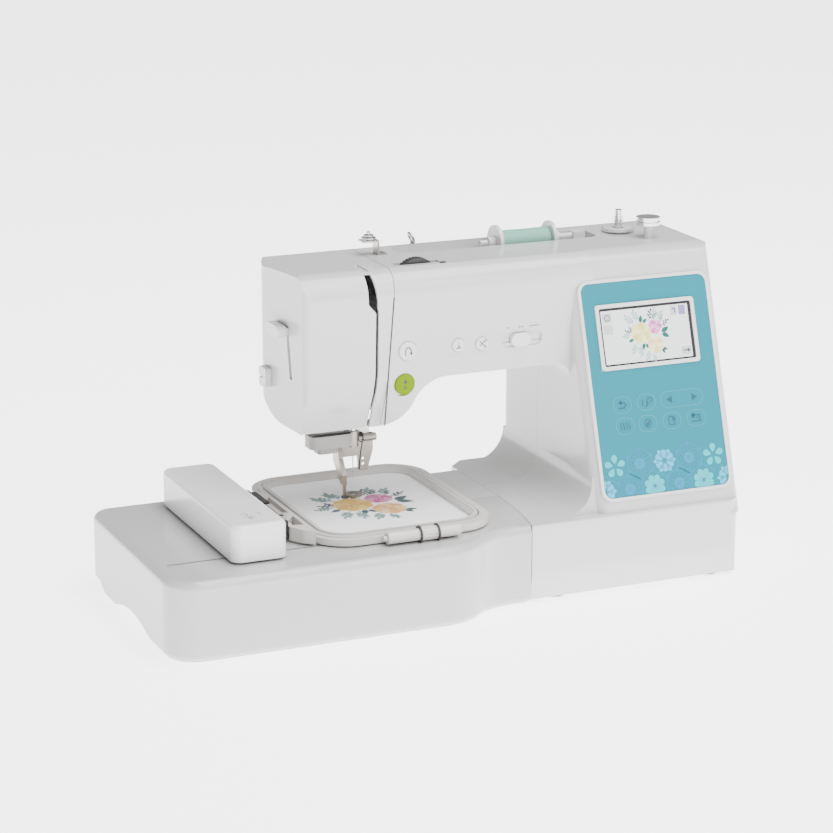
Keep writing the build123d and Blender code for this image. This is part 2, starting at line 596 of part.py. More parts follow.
def drive_belts():
    """Belts: main shaft to lower shaft, motor to main shaft, and the carriage's."""
    carriage = carriage_belt().solid()
    lower = belt(NEEDLE_Y, SHAFT_Z, PULLEY_R, NEEDLE_Y, LOWER_SHAFT_Z, PULLEY_R, 215, 221)
    motor = belt(NEEDLE_Y, SHAFT_Z, BIG_PULLEY_R, MOTOR_Y, MOTOR_Z, MOTOR_PULLEY_R, 229, 234)
    return Compound(children=[lower.solid(), motor.solid(), carriage])


def thread_guides():
    """Bent guide plate with its tension disc and stud, and the ring guide behind the recess."""
    plate = block(-31, -23, 39, 50, COLUMN_TOP + 0.6, COLUMN_TOP + 1.8)
    plate = plate + block(-31, -29.8, 39, 50, COLUMN_TOP + 0.6, COLUMN_TOP + 13)
    plate = plate + block(-44, -29.8, 39, 50, COLUMN_TOP + 11.8, COLUMN_TOP + 13)
    plate = plate + rod("Z", -37, 44.5, COLUMN_TOP + 13, COLUMN_TOP + 20, 1.4)
    plate = plate + rod("Z", -37, 44.5, COLUMN_TOP + 14, COLUMN_TOP + 15.2, 6)
    plate = plate + rod("Z", -37, 44.5, COLUMN_TOP + 16.2, COLUMN_TOP + 17.2, 4.2)
    ring = Pos(13, 74, COLUMN_TOP + 5) * Rot(0, 65, 0) * Torus(4.2, 1.2)
    ring = ring + rod("Z", 13, 74, COLUMN_TOP - 3, COLUMN_TOP + 1.6, 1.2)
    return Compound(children=[largest(plate), largest(ring)])


def spool_pin():
    """Horizontal pin on its foot at the right of the recess."""
    pin = rod("X", SPOOL_Y, SPOOL_Z, 66, 160, 2.5)
    return pin + block(150, 160, SPOOL_Y - 5, SPOOL_Y + 5, RECESS_FLOOR + 0.05, SPOOL_Z + 3.5)


def spool_caps():
    """The two caps either side of the thread."""
    caps = []
    for face, outward in ((82.0, -1), (128.0, 1)):
        start = min(face, face + outward * 3)
        hub = min(face, face + outward * 9)
        cap = rod("X", SPOOL_Y, SPOOL_Z, start, start + 3, 14) + rod("X", SPOOL_Y, SPOOL_Z, hub, hub + 9, 5)
        caps.append(cap - rod("X", SPOOL_Y, SPOOL_Z, 60, 170, 2.5 + RUN))
    return Compound(children=caps)


def winder_stop():
    """Metal disc on a white stem that a full bobbin runs against."""
    stem = rod("Z", STOP_X, STOP_Y, COLUMN_TOP, COLUMN_TOP + 12, 3) + \
        rod("Z", STOP_X, STOP_Y, COLUMN_TOP + 11, COLUMN_TOP + 17.5, 10)
    return stem - tube("Z", STOP_X, STOP_Y, COLUMN_TOP + 13.5, COLUMN_TOP + 15, 12, 8.8)


def power_inlet():
    """Recessed two-pin inlet in the right side."""
    body = block(226, 243, INLET_Y - 13.7, INLET_Y + 13.7, INLET_Z - 9.7, INLET_Z + 9.7)
    well = block(232, 250, INLET_Y - 10, INLET_Y + 10, INLET_Z - 6, INLET_Z + 6)
    body = body - well
    for side in (-1, 1):
        body = body + rod("X", INLET_Y + side * 4.3, INLET_Z, 231, 241, 1.2)
    return body


def thread_cutter():
    """Cutter housing on the face cover, with its slot."""
    body = rounded_box(42.5, 57.5, 168.5, 184.5, 0, 4.5, 3)
    body = Pos(-127.6, 0, 0) * Rot(0, 0, 90) * Rot(90, 0, 0) * body
    body = body + block(-123.4, -118, 43.3, 56.7, 169.3, 183.7)
    return body - block(-129, -119.5, 49, 60, 175.5, 177)


def threader_guard():
    """Grey guard under the face cover, beside the needle."""
    guard = rounded_box(-99.5, -63, 14, 34, 120.5, 131, 6)
    return guard + block(-92, -70, 20, 28, 130, 148) + rounded_box(-91, -74, 20, 34, 114.5, 121, 3)


# ---------------------------------------------------------------- machine: moving pieces
def handwheel():
    """Handwheel with finger ridges round its rim."""
    wheel = rod("X", NEEDLE_Y, SHAFT_Z, 243.6, HALF_LENGTH, WHEEL_R)
    wheel = fillet(wheel.edges().filter_by(GeomType.CIRCLE), 3)
    wheel = wheel - rod("X", NEEDLE_Y, SHAFT_Z, 256, HALF_LENGTH + 1, WHEEL_R - 9)
    for step in range(24):
        angle = radians(step * 15)
        y = NEEDLE_Y + (WHEEL_R + 0.9) * cos(angle)
        z = SHAFT_Z + (WHEEL_R + 0.9) * sin(angle)
        wheel = wheel - rod("X", y, z, 240, HALF_LENGTH + 1, 1.9)
    return wheel - rod("X", NEEDLE_Y, SHAFT_Z, 240, 252, SHAFT_R)


def main_shaft():
    """Main shaft with the needle bar crank and both pulleys."""
    shaft = rod("X", NEEDLE_Y, SHAFT_Z, -46, 251.9, SHAFT_R)
    crank = rod("X", NEEDLE_Y, SHAFT_Z, -46, -40, 19)
    pin = rod("X", NEEDLE_Y, SHAFT_Z + STROKE / 2, -48.4, -46, 2.5)
    pulleys = rod("X", NEEDLE_Y, SHAFT_Z, 214, 222, PULLEY_R)
    pulleys = pulleys + rod("X", NEEDLE_Y, SHAFT_Z, 228, 235, BIG_PULLEY_R)
    return shaft + crank + pin + pulleys


def lower_shaft():
    """Lower shaft with its pulley and the hook's driving gear."""
    shaft = rod("X", NEEDLE_Y, LOWER_SHAFT_Z, -60, 224, SHAFT_R)
    gear = rod("X", NEEDLE_Y, LOWER_SHAFT_Z, NEEDLE_X - 5, NEEDLE_X + 5, HOOK_GEAR_BIG)
    return shaft + gear + rod("X", NEEDLE_Y, LOWER_SHAFT_Z, 214, 222, PULLEY_R)


def rotary_hook():
    """Open-topped hook cup with its point, on a vertical shaft with the driven gear."""
    cup = tube("Z", NEEDLE_X, HOOK_Y, 43, 57, HOOK_R, HOOK_R - 1.5)
    cup = cup + rod("Z", NEEDLE_X, HOOK_Y, 43, 44.5, HOOK_R)
    cup = cup - block(NEEDLE_X + 4, NEEDLE_X + 30, HOOK_Y - 6, HOOK_Y + 6, 51, 60)
    shaft = rod("Z", NEEDLE_X, HOOK_Y, 17.5, 43.5, 3)
    return cup + shaft + rod("Z", NEEDLE_X, HOOK_Y, 24, 36, HOOK_GEAR_SMALL)


def bobbin_case():
    """Inner case that stands still in the hook and holds the bobbin."""
    case = tube("Z", NEEDLE_X, HOOK_Y, 44.8, 60, HOOK_R - 1.8, HOOK_R - 3.3)
    case = case + rod("Z", NEEDLE_X, HOOK_Y, 44.8, 46, HOOK_R - 1.8)
    case = case + rod("Z", NEEDLE_X, HOOK_Y, 46, 52, 2.4)
    return case + block(NEEDLE_X - 22, NEEDLE_X - HOOK_R + 2.5, HOOK_Y - 3, HOOK_Y + 3, 58, 60)


def bobbin():
    """Bobbin with its two flanges."""
    low = 46.3
    spool = tube("Z", NEEDLE_X, HOOK_Y, low, low + 11.5, 4.5, 2.4 + RUN)
    for z in (low, low + 10.5):
        spool = spool + tube("Z", NEEDLE_X, HOOK_Y, z, z + 1, 10.2, 2.4 + RUN)
    return spool


def feed_dog():
    """Two toothed bars on a bridge, lowered for embroidery."""
    bars = block(NEEDLE_X - 9.5, NEEDLE_X + 9.5, NEEDLE_Y + 9, NEEDLE_Y + 13, 58.5, 61)
    for side in (-1, 1):
        x = NEEDLE_X + side * 8
        bars = bars + block(x - 1.5, x + 1.5, NEEDLE_Y - 1, NEEDLE_Y + 12.5, 58.5, 63.2)
        for tooth in range(8):
            y = NEEDLE_Y - 0.6 + tooth * 1.6
            bars = bars + side_prism([(y, 63.2), (y + 1.2, 63.2), (y + 1.2, 64.2)], x - 1.5, x + 1.5)
    return bars


def motor_pulley():
    """Motor shaft with its small pulley."""
    return rod("X", MOTOR_Y, MOTOR_Z, 181, 236, 2) + rod("X", MOTOR_Y, MOTOR_Z, 228, 235, MOTOR_PULLEY_R)


def take_up_lever():
    """Thread take-up lever with its eye, on a stud in the head."""
    angle = radians(118)
    tip_y = TAKE_UP_Y + 32 * cos(angle)
    tip_z = TAKE_UP_Z + 32 * sin(angle)
    nx = 2.6 * sin(angle)
    nz = -2.6 * cos(angle)
    arm = side_prism([(TAKE_UP_Y - nx, TAKE_UP_Z - nz), (TAKE_UP_Y + nx, TAKE_UP_Z + nz),
                      (tip_y + nx, tip_z + nz), (tip_y - nx, tip_z - nz)], TAKE_UP_X, TAKE_UP_X + 2)
    lever = arm + rod("X", tip_y, tip_z, TAKE_UP_X, TAKE_UP_X + 2, 4)
    lever = lever + rod("X", TAKE_UP_Y, TAKE_UP_Z, TAKE_UP_X, TAKE_UP_X + 2, 6)
    return lever - rod("X", tip_y, tip_z, -70, -60, 1.6) - rod("X", TAKE_UP_Y, TAKE_UP_Z, -70, -60, 3 + RUN)


def needle_bar():
    """Needle bar with the block that the crank drives."""
    bar = rod("Z", NEEDLE_X, NEEDLE_Y, 112, 246, 3)
    return bar - rod("Z", NEEDLE_X, NEEDLE_Y, 111, 123, 1.05)


def needle_clamp():
    """Clamp round the bar's end, with its screw to the right."""
    clamp = rod("Z", NEEDLE_X, NEEDLE_Y, 112, 125, 5.2) - rod("Z", NEEDLE_X, NEEDLE_Y, 100, 130, 3)
    screw = rod("X", NEEDLE_Y, 118, NEEDLE_X + 5, NEEDLE_X + 9, 1.5) + \
        rod("X", NEEDLE_Y, 118, NEEDLE_X + 8.5, NEEDLE_X + 20, 3.2)
    return clamp + screw


def needle():
    """Needle: shank, blade, eye and point."""
    shank = rod("Z", NEEDLE_X, NEEDLE_Y, 110, 122.5, 1.0)
    blade = rod("Z", NEEDLE_X, NEEDLE_Y, NEEDLE_TIP_Z + 3.5, 110, 0.45)
    point = Pos(NEEDLE_X, NEEDLE_Y, NEEDLE_TIP_Z + 1.75) * Cone(0.08, 0.45, 3.5)
    eye = block(NEEDLE_X - 0.15, NEEDLE_X + 0.15, NEEDLE_Y - 2, NEEDLE_Y + 2,
                NEEDLE_TIP_Z + 5, NEEDLE_TIP_Z + 6.4)
    return shank + blade + point - eye


def presser_bar():
    """Presser bar behind the needle."""
    return rod("Z", NEEDLE_X, PRESSER_Y, 104, 244, 3)


def embroidery_foot():
    """Embroidery foot: ring, stem, slanting plate, block with its thumb screw and the drilled side plate."""
    ring_low = FABRIC_Z + FABRIC_T + 0.4
    ring = tube("Z", NEEDLE_X, NEEDLE_Y, ring_low, ring_low + 1.4, 7.5, 3.6)
    stem = block(NEEDLE_X - 8.4, NEEDLE_X - 6.6, NEEDLE_Y - 1.5, NEEDLE_Y + 2, ring_low, 84)
    plate = side_prism([(NEEDLE_Y - 1.5, 80), (NEEDLE_Y + 3, 80), (PRESSER_Y + 4, 96), (PRESSER_Y + 4, 117),
                        (PRESSER_Y - 3, 117), (PRESSER_Y - 9, 100), (NEEDLE_Y - 1.5, 88)],
                       NEEDLE_X - 10, NEEDLE_X - 6)
    pin = rod("X", NEEDLE_Y, 86.5, NEEDLE_X - 14, NEEDLE_X - 9, 0.9)
    holder = block(NEEDLE_X - 8, NEEDLE_X + 12, PRESSER_Y - 5, PRESSER_Y + 5, 100, 119)
    side = front_prism([(NEEDLE_X + 8, 119), (NEEDLE_X + 22, 116), (NEEDLE_X + 22, 104), (NEEDLE_X + 17, 87),
                        (NEEDLE_X + 9, 87), (NEEDLE_X + 8, 100)], PRESSER_Y - 5, PRESSER_Y - 3.4)
    side = fillet(side.edges().filter_by(Axis.Y), 1.5)
    for z in (92.5, 97):
        side = side - rod("Y", NEEDLE_X + 13.2, z, PRESSER_Y - 8, PRESSER_Y, 1.3)
    screw = rod("Y", NEEDLE_X, 108, PRESSER_Y + 4, PRESSER_Y + 7, 2) + \
        rod("Y", NEEDLE_X, 108, PRESSER_Y + 6.5, PRESSER_Y + 13, 5)
    foot = ring + stem + plate + pin + holder + side + screw
    return foot - rod("Z", NEEDLE_X, PRESSER_Y, 90, 125, 3)


def presser_lever():
    """Lifting lever hanging behind the arm, on its short pivot."""
    pivot = rod("Y", LIFTER_X, LIFTER_Z, 62, ARM_REAR + 2, 4)
    arm = front_prism([(LIFTER_X - 6, LIFTER_Z + 5), (LIFTER_X + 6, LIFTER_Z + 5),
                       (LIFTER_X + 8, LIFTER_Z - 20),
                       (LIFTER_X + 14, LIFTER_Z - 66), (LIFTER_X + 5, LIFTER_Z - 68),
                       (LIFTER_X - 2, LIFTER_Z - 20)], ARM_REAR + 1, ARM_REAR + 6)
    return pivot + fillet(arm.edges().filter_by(Axis.Y), 2)


def round_button(name):
    """Domed button with a flange inside the wall."""
    x, z, radius = BUTTONS[name]
    cap = rod("Y", x, z, ARM_FRONT - 1.4, ARM_FRONT + WALL + 0.6, radius)
    cap = fillet(cap.edges().group_by(Axis.Y)[0], 1.0)
    flange = rod("Y", x, z, ARM_FRONT + WALL + 0.15, ARM_FRONT + WALL + 1.4, radius + 1.4)
    return cap + flange


def speed_slider():
    """Slider knob, its neck and the plate behind the wall."""
    x = 66.5
    knob = rounded_box(x - 8.5, x + 8.5, SLIDER_Z - 5.5, SLIDER_Z + 5.5, 0, 4.2, 5.4)
    knob = Pos(0, ARM_FRONT + 1.0, 0) * Rot(90, 0, 0) * knob
    neck = block(x - 3, x + 3, ARM_FRONT + 0.8, ARM_FRONT + WALL + 1, SLIDER_Z - 2.1, SLIDER_Z + 2.1)
    plate = block(x - 6, x + 6, ARM_FRONT + WALL + 0.4, ARM_FRONT + WALL + 2, SLIDER_Z - 5, SLIDER_Z + 5)
    return knob + neck + plate


def threader_lever():
    """Needle threader lever on the left of the head: finger tab, stem and inner slide."""
    tab = rounded_box(8, 34, THREADER_Z - 4.5, THREADER_Z + 4.5, 0, 7.5, 3)
    tab = Pos(-129.8, 0, 0) * Rot(0, 0, 90) * Rot(90, 0, 0) * tab
    stem = block(-122.6, -115, THREADER_Y - 1.6, THREADER_Y + 1.6, THREADER_Z - 2.6, THREADER_Z + 2.6)
    return tab + stem + block(-117, -114.5, THREADER_Y - 6, THREADER_Y + 6, THREADER_Z - 8, THREADER_Z + 8)


def tension_dial():
    """Thread tension dial with a knurled rim, standing out of the top."""
    dial = rod("Y", DIAL_X, DIAL_Z, DIAL_Y - 3.5, DIAL_Y + 3.5, DIAL_R)
    for step in range(40):
        angle = radians(9 * step)
        x = DIAL_X + (DIAL_R + 0.4) * cos(angle)
        z = DIAL_Z + (DIAL_R + 0.4) * sin(angle)
        dial = dial - rod("Y", x, z, DIAL_Y - 5, DIAL_Y + 5, 0.9)
    return dial - rod("Y", DIAL_X, DIAL_Z, DIAL_Y - 9, DIAL_Y + 9, 3 + RUN)


def winder_shaft():
    """Bobbin winder shaft with its seat and the spring ridge that grips the bobbin."""
    shaft = rod("Z", WINDER_X, WINDER_Y, 256, COLUMN_TOP + 19, 3.2)
    shaft = shaft + rod("Z", WINDER_X, WINDER_Y, COLUMN_TOP + 1.6, COLUMN_TOP + 3.6, 13.5)
    for z in (5.5, 8.5, 11.5):
        shaft = shaft + rod("Z", WINDER_X, WINDER_Y, COLUMN_TOP + z, COLUMN_TOP + z + 1.5, 3.8)
    return shaft + rod("Z", WINDER_X, WINDER_Y, 250, 256.5, 9)


def thread_spool():
    """Wound thread on its core."""
    spool = rod("X", SPOOL_Y, SPOOL_Z, 82.3, 127.7, 9.5)
    return spool - rod("X", SPOOL_Y, SPOOL_Z, 80, 135, 2.5 + RUN)


def power_switch():
    """Rocker switch."""
    rocker = side_prism([(SWITCH_Y - 9.4, INLET_Z - 6.4), (SWITCH_Y + 9.4, INLET_Z - 6.4),
                         (SWITCH_Y + 9.4, INLET_Z + 6.4), (SWITCH_Y - 9.4, INLET_Z + 6.4)], 236, 243.6)
    notch = rod("Z", 248.5, SWITCH_Y, 10, 60, 6)
    pins = rod("Z", 240, SWITCH_Y, INLET_Z - 6.9, INLET_Z + 6.9, 1.2)
    return rocker - notch + pins


# ---------------------------------------------------------------- embroidery unit
def unit_plan():
    """Footprint of the unit: L-shaped, with an S-curved front that meets the bed."""
    gap = 2 * SEAM
    sweep = s_curve((-34, UNIT_FRONT), (34, BASE_FRONT))
    joint = ThreePointArc((JOINT_FRONT_X - gap, BASE_FRONT), (57.4 - gap, -42),
                          (JOINT_REAR_X - gap, FREE_ARM_FRONT - gap))
    inner_x = FREE_ARM_LEFT - gap
    outline = [*sweep, Line((34, BASE_FRONT), (JOINT_FRONT_X - gap, BASE_FRONT)), joint,
               Line((JOINT_REAR_X - gap, FREE_ARM_FRONT - gap), (inner_x, FREE_ARM_FRONT - gap)),
               Line((inner_x, FREE_ARM_FRONT - gap), (inner_x, UNIT_REAR)),
               Line((inner_x, UNIT_REAR), (UNIT_LEFT, UNIT_REAR)),
               Line((UNIT_LEFT, UNIT_REAR), (UNIT_LEFT, UNIT_FRONT)),
               Line((UNIT_LEFT, UNIT_FRONT), (-34, UNIT_FRONT))]
    face = make_face(outline)
    front_corner = [v for v in face.vertices() if v.X < UNIT_LEFT + 1 and v.Y < 0]
    face = fillet(front_corner, 26)
    rear_corner = [v for v in face.vertices() if v.X < UNIT_LEFT + 1 and v.Y > 50]
    return fillet(rear_corner, 16)


def unit_upper_cover():
    """Hollow cover of the unit, open below, with the carriage slot and the hand recess at the left."""
    outer = plan_prism(unit_plan(), FLOOR_GAP, BED_TOP)
    outer_faces = outer.edges().group_by(Axis.Z)[-1]
    front_and_left = [e for e in outer_faces if e.center().Y < -83 or e.center().X < UNIT_LEFT + 20]
    outer = fillet(front_and_left, 7)
    bottom_edges = outer.edges().group_by(Axis.Z)[0]
    outer = fillet([e for e in bottom_edges if e.center().Y < -83 or e.center().X < UNIT_LEFT + 20], 5)
    inner = plan_prism(shrink(unit_plan(), WALL), FLOOR_GAP - 1, BED_TOP - WALL)
    inner_top = inner.edges().group_by(Axis.Z)[-1]
    inner_round = [e for e in inner_top if e.center().Y < -80 or e.center().X < UNIT_LEFT + 22]
    inner = fillet(inner_round, 5)
    cover = outer - inner
    arch_face = make_face([ThreePointArc((-62, 0), (-12, 14), (38, 5)), Line((38, 5), (54, 5)),
                           ThreePointArc((54, 5), (67, 8), (76, 14)), Line((76, 14), (110, 15)),
                           Line((110, 15), (110, -5)), Line((110, -5), (-62, -5)), Line((-62, -5), (-62, 0))])
    cover = cover - side_prism(arch_face, UNIT_LEFT - 5, UNIT_LEFT + 60)
    slot_left = CARRIAGE_LEFT - CARRIAGE_TRAVEL + 4
    slot_right = CARRIAGE_RIGHT + CARRIAGE_TRAVEL - 4
    return largest(cover - block(slot_left, slot_right, SLOT_Y - 1.6, SLOT_Y + 1.6, 55, 80))


def unit_base():
    """Floor plate of the unit with its posts, and the guide rod pressed into two of them."""
    floor = plan_prism(shrink(unit_plan(), WALL + SEAM), FLOOR_GAP, FLOOR_GAP + 2.5)
    floor = floor - block(UNIT_LEFT - 5, UNIT_LEFT + 61, -66, 120, 0, 20)
    floor = floor + (plan_prism(shrink(unit_plan(), WALL + SEAM), 16, 18.5) &
                     block(UNIT_LEFT, UNIT_LEFT + 64, -66, 120, 0, 40))
    floor = floor + (plan_prism(shrink(unit_plan(), WALL + SEAM + 4), FLOOR_GAP, 18.5) &
                     block(UNIT_LEFT + 61, UNIT_LEFT + 64, -66, 120, 0, 40))
    floor = floor + (plan_prism(shrink(unit_plan(), WALL + SEAM + 4), FLOOR_GAP, 18.5) &
                     block(UNIT_LEFT, UNIT_LEFT + 64, -69, -66, 0, 40))
    for x0, foot_z in ((RAIL_X0 + 0.2, 17), (RAIL_X1 - 3.2, FLOOR_GAP)):
        floor = floor + block(x0, x0 + 3, RAIL_Y - 7, RAIL_Y + 7, foot_z, RAIL_Z + 7)
    floor = floor + block(IDLER_X - 5, IDLER_X + 5, BELT_Y - 7, BELT_Y - 4.5, 17, RAIL_Z + 5)
    floor = floor + rod("Y", IDLER_X, RAIL_Z, BELT_Y - 4.6, BELT_Y + 3.4, DRIVE_PULLEY_R)
    floor = floor - rod("X", RAIL_Y, RAIL_Z, -300, 0, RAIL_R)
    rail = rod("X", RAIL_Y, RAIL_Z, RAIL_X0, RAIL_X1, RAIL_R)
    return Compound(children=[largest(floor), rail.solid()])


def x_motor():
    """Stepping motor of the carriage, with its fixed end flange."""
    body = rounded_box(MOTOR_X - 16, MOTOR_X + 16, RAIL_Z - 16, RAIL_Z + 16, 0, 24, 4)
    body = Pos(0, BELT_Y - 6, 0) * Rot(90, 0, 0) * body
    return body - rod("Y", MOTOR_X, RAIL_Z, BELT_Y - 20, BELT_Y, 2 + RUN)


def x_pulley():
    """Motor shaft and pulley of the carriage drive."""
    return rod("Y", MOTOR_X, RAIL_Z, BELT_Y - 18, BELT_Y + 4, 2) + \
        rod("Y", MOTOR_X, RAIL_Z, BELT_Y - 4, BELT_Y + 3, DRIVE_PULLEY_R)


def carriage_belt():
    """Belt loop of the carriage drive."""
    outer = SlotCenterToCenter(MOTOR_X - IDLER_X, 2 * (DRIVE_PULLEY_R + RUN + 1.2))
    inner = SlotCenterToCenter(MOTOR_X - IDLER_X, 2 * (DRIVE_PULLEY_R + RUN))
    loop = Pos((MOTOR_X + IDLER_X) / 2, RAIL_Z) * (outer - inner)
    return front_prism(loop, BELT_Y - 3, BELT_Y + 2)


def carriage_frame():
    """Carriage frame with its slider, the blade through the slot, and the rod pressed into its ends."""
    floor = rounded_box(CARRIAGE_LEFT + 2.5, CARRIAGE_RIGHT - 2.5, CARRIAGE_FRONT + 2.5, CARRIAGE_REAR - 2.5,
                        CARRIAGE_LOW + 0.6, CARRIAGE_LOW + 2.6, 6)
    for y0 in (CARRIAGE_FRONT + 3.5, CARRIAGE_REAR - 6.5):
        floor = floor + block(Y_ROD_X - 7, Y_ROD_X + 7, y0, y0 + 3, CARRIAGE_LOW + 2, Y_ROD_Z + 6)
    blade = block(CARRIAGE_LEFT + 6, CARRIAGE_RIGHT - 6, SLOT_Y - 1, SLOT_Y + 1, RAIL_Z - 5, CARRIAGE_LOW + 1)
    slider = block(CARRIAGE_LEFT + 6, CARRIAGE_RIGHT - 6, SLOT_Y - 1, RAIL_Y + 8, RAIL_Z - 6, RAIL_Z + 6)
    clip = block(-185, -175, RAIL_Y + 7, BELT_Y - 3.4, RAIL_Z + 8.5, RAIL_Z + 11)
    clip = clip + block(-185, -175, RAIL_Y + 5, RAIL_Y + 8, RAIL_Z + 2, RAIL_Z + 11)
    frame = floor + blade + slider + clip
    frame = frame - rod("X", RAIL_Y, RAIL_Z, -300, 0, RAIL_R + RUN)
    frame = frame - rod("Y", Y_ROD_X, Y_ROD_Z, -100, 100, Y_ROD_R)
    rod_y = rod("Y", Y_ROD_X, Y_ROD_Z, CARRIAGE_FRONT + 3.6, CARRIAGE_REAR - 3.6, Y_ROD_R)
    return Compound(children=[largest(frame), rod_y.solid()])


def carriage_cover():
    """Carriage cover with a long slot in its right side for the frame holder."""
    outer = rounded_box(CARRIAGE_LEFT, CARRIAGE_RIGHT, CARRIAGE_FRONT, CARRIAGE_REAR, CARRIAGE_LOW,
                        CARRIAGE_TOP, 8, 4)
    inner = rounded_box(CARRIAGE_LEFT + 2, CARRIAGE_RIGHT - 2, CARRIAGE_FRONT + 2, CARRIAGE_REAR - 2,
                        CARRIAGE_LOW - 1, CARRIAGE_TOP - 2, 6, 2)
    cover = outer - inner
    return cover - block(CARRIAGE_RIGHT - 4, CARRIAGE_RIGHT + 2,
                         CARRIAGE_FRONT + 7, CARRIAGE_REAR - 5, 75.5, 82)


def frame_holder():
    """Holder: slider on the rod, arm through the cover's slot and the bar that takes the hoop."""
    slider = block(Y_ROD_X - 6, Y_ROD_X + 8, HOLDER_Y0, 3, Y_ROD_Z - 6, Y_ROD_Z + 6)
    arm = block(Y_ROD_X + 4, HOLDER_X - 2, HOLDER_Y0 + 2, 1, 76.5, 80.5)
    bar = rounded_box(-151, HOLDER_X, HOLDER_Y0, HOLDER_Y1, 70, 84, 3)
    bar = bar + block(-150, HOLDER_X - 0.6, -3, 28, 83, 88) - block(-160, -130, 30, 33, 80.5, 90)
    holder = slider + arm + bar + rod("Z", LEVER_X, LEVER_Y, 83, 87.8, 2)
    return holder - rod("Y", Y_ROD_X, Y_ROD_Z, -100, 100, Y_ROD_R + RUN)


def holder_lever():
    """Locking lever of the hoop on the holder."""
    lever = tube("Z", LEVER_X, LEVER_Y, 84.3, 87.4, 4, 2 + RUN)
    return lever + block(LEVER_X - 0.5, LEVER_X + 3.5, LEVER_Y + 3.2, -6, 84.3, 87.4)


def ring(size_x, size_y, radius, width, z0, z1):
    """Rounded rectangular ring about the hoop's centre."""
    outer = RectangleRounded(size_x + 2 * width, size_y + 2 * width, radius + width)
    band = extrude(outer - RectangleRounded(size_x, size_y, radius), z1 - z0)
    return Pos(HOOP_X, HOOP_Y, z0) * band


def hoop_outer_frame():
    """Outer frame with its side bracket, the split at the front and the two screw lugs."""
    inset = INNER_RING + HOOP_FIT
    size = (WINDOW_X + 2 * inset, WINDOW_Y + 2 * inset, WINDOW_R + inset)
    frame = ring(*size, OUTER_RING - HOOP_FIT, HOOP_LOW, HOOP_HIGH - 1.4)
    frame = frame + ring(*size, 3.2, HOOP_HIGH - 2, HOOP_HIGH)
    left = HOOP_X - WINDOW_X / 2 - INNER_RING - OUTER_RING
    outline = rounded([(left + 1, HOLDER_Y0 - 18), (left - 7, HOLDER_Y0 - 12), (HOLDER_X, HOLDER_Y0),
                       (HOLDER_X, HOLDER_Y1 - 8), (left + 1, HOLDER_Y1 + 6)], [0, 8, 4, 4, 0])
    bracket = plan_prism(outline, HOOP_LOW + 0.6, 80)
    for y0, y1 in ((HOLDER_Y0, -20), (-12, HOLDER_Y1 - 14)):
        window = [(left - 1.5, y0 + 1), (left - 10, y0 + 3), (left - 10, y1 - 12), (left - 1.5, y1)]
        bracket = bracket - plan_prism(window, 60, 90)
    front = HOOP_Y - WINDOW_Y / 2 - INNER_RING - OUTER_RING
    lugs = block(LUG_X0, LUG_X1, front - 5, front + 1, SCREW_Z - 4, SCREW_Z + 1.4)
    lugs = lugs + rod("X", SCREW_Y, SCREW_Z, LUG_X0, LUG_X1, 4.8)
    frame = frame + bracket + lugs
    frame = frame - block(NUT_X0 - 0.4, NUT_X1 + 0.4, front - 20, front, 60, 90)
    frame = frame - block(NUT_X0 + 4, NUT_X0 + 7, front - 20, front + 20, 60, 90)
    frame = frame - rod("X", SCREW_Y, SCREW_Z, LUG_X0 - 5, LUG_X1 + 5, 2 + RUN)
    return largest(frame)


def hoop_inner_frame():
    """Inner frame that traps the fabric, with a lip over the outer frame."""
    low = FABRIC_Z + FABRIC_T + 0.1
    frame = ring(WINDOW_X, WINDOW_Y, WINDOW_R, INNER_RING - 0.8, low, HOOP_HIGH)
    return frame + ring(WINDOW_X + 2, WINDOW_Y + 2, WINDOW_R + 1, INNER_RING - 2.2,
                        HOOP_HIGH - 1, HOOP_HIGH + 0.8)


def hoop_screw():
    """Hoop screw with its finger nut between the lugs."""
    screw = rod("X", SCREW_Y, SCREW_Z, LUG_X0 - 3, LUG_X1 - 1, 2)
    nut = rod("X", SCREW_Y, SCREW_Z, NUT_X0, NUT_X1, 5.4)
    for step in range(12):
        angle = radians(30 * step)
        y = SCREW_Y + 5.9 * cos(angle)
        z = SCREW_Z + 5.9 * sin(angle)
        nut = nut - rod("X", y, z, NUT_X0 - 1, NUT_X1 + 1, 1.0)
    return screw + nut


def fabric():
    """Hooped fabric, flat across the window."""
    sheet = RectangleRounded(WINDOW_X + 2 * INNER_RING - 1, WINDOW_Y + 2 * INNER_RING - 1,
                             WINDOW_R + INNER_RING - 0.5)
    return Pos(HOOP_X, HOOP_Y, FABRIC_Z) * extrude(sheet, FABRIC_T)


def build():
    """Write every node."""
    front, rear, cover = machine_casings()
    write("front_casing", cut_front_casing(front))
    write("rear_casing", cut_rear_casing(rear))
    write("face_cover", cut_face_cover(cover))
    pieces = [base_pan, rubber_feet, casing_screws, free_arm_cover, needle_plate, bobbin_cover, chassis,
              operation_panel, panel_frame, touch_screen, control_board, main_motor, drive_belts,
              thread_guides, spool_pin, spool_caps, winder_stop, power_inlet, thread_cutter, threader_guard,
              handwheel, main_shaft, lower_shaft, rotary_hook, bobbin_case, bobbin, feed_dog, motor_pulley,
              take_up_lever, needle_bar, needle_clamp, needle, presser_bar, embroidery_foot,
              presser_lever, speed_slider, threader_lever, tension_dial, winder_shaft,
              thread_spool, power_switch, unit_upper_cover, unit_base, x_motor, x_pulley,
              carriage_frame, carriage_cover, frame_holder, holder_lever, hoop_outer_frame,
              hoop_inner_frame, hoop_screw, fabric]
    for piece in pieces:
        write(piece.__name__, piece())
    for name in BUTTONS:
        write(name, round_button(name))


os.makedirs("parts", exist_ok=True)
build()
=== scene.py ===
import math

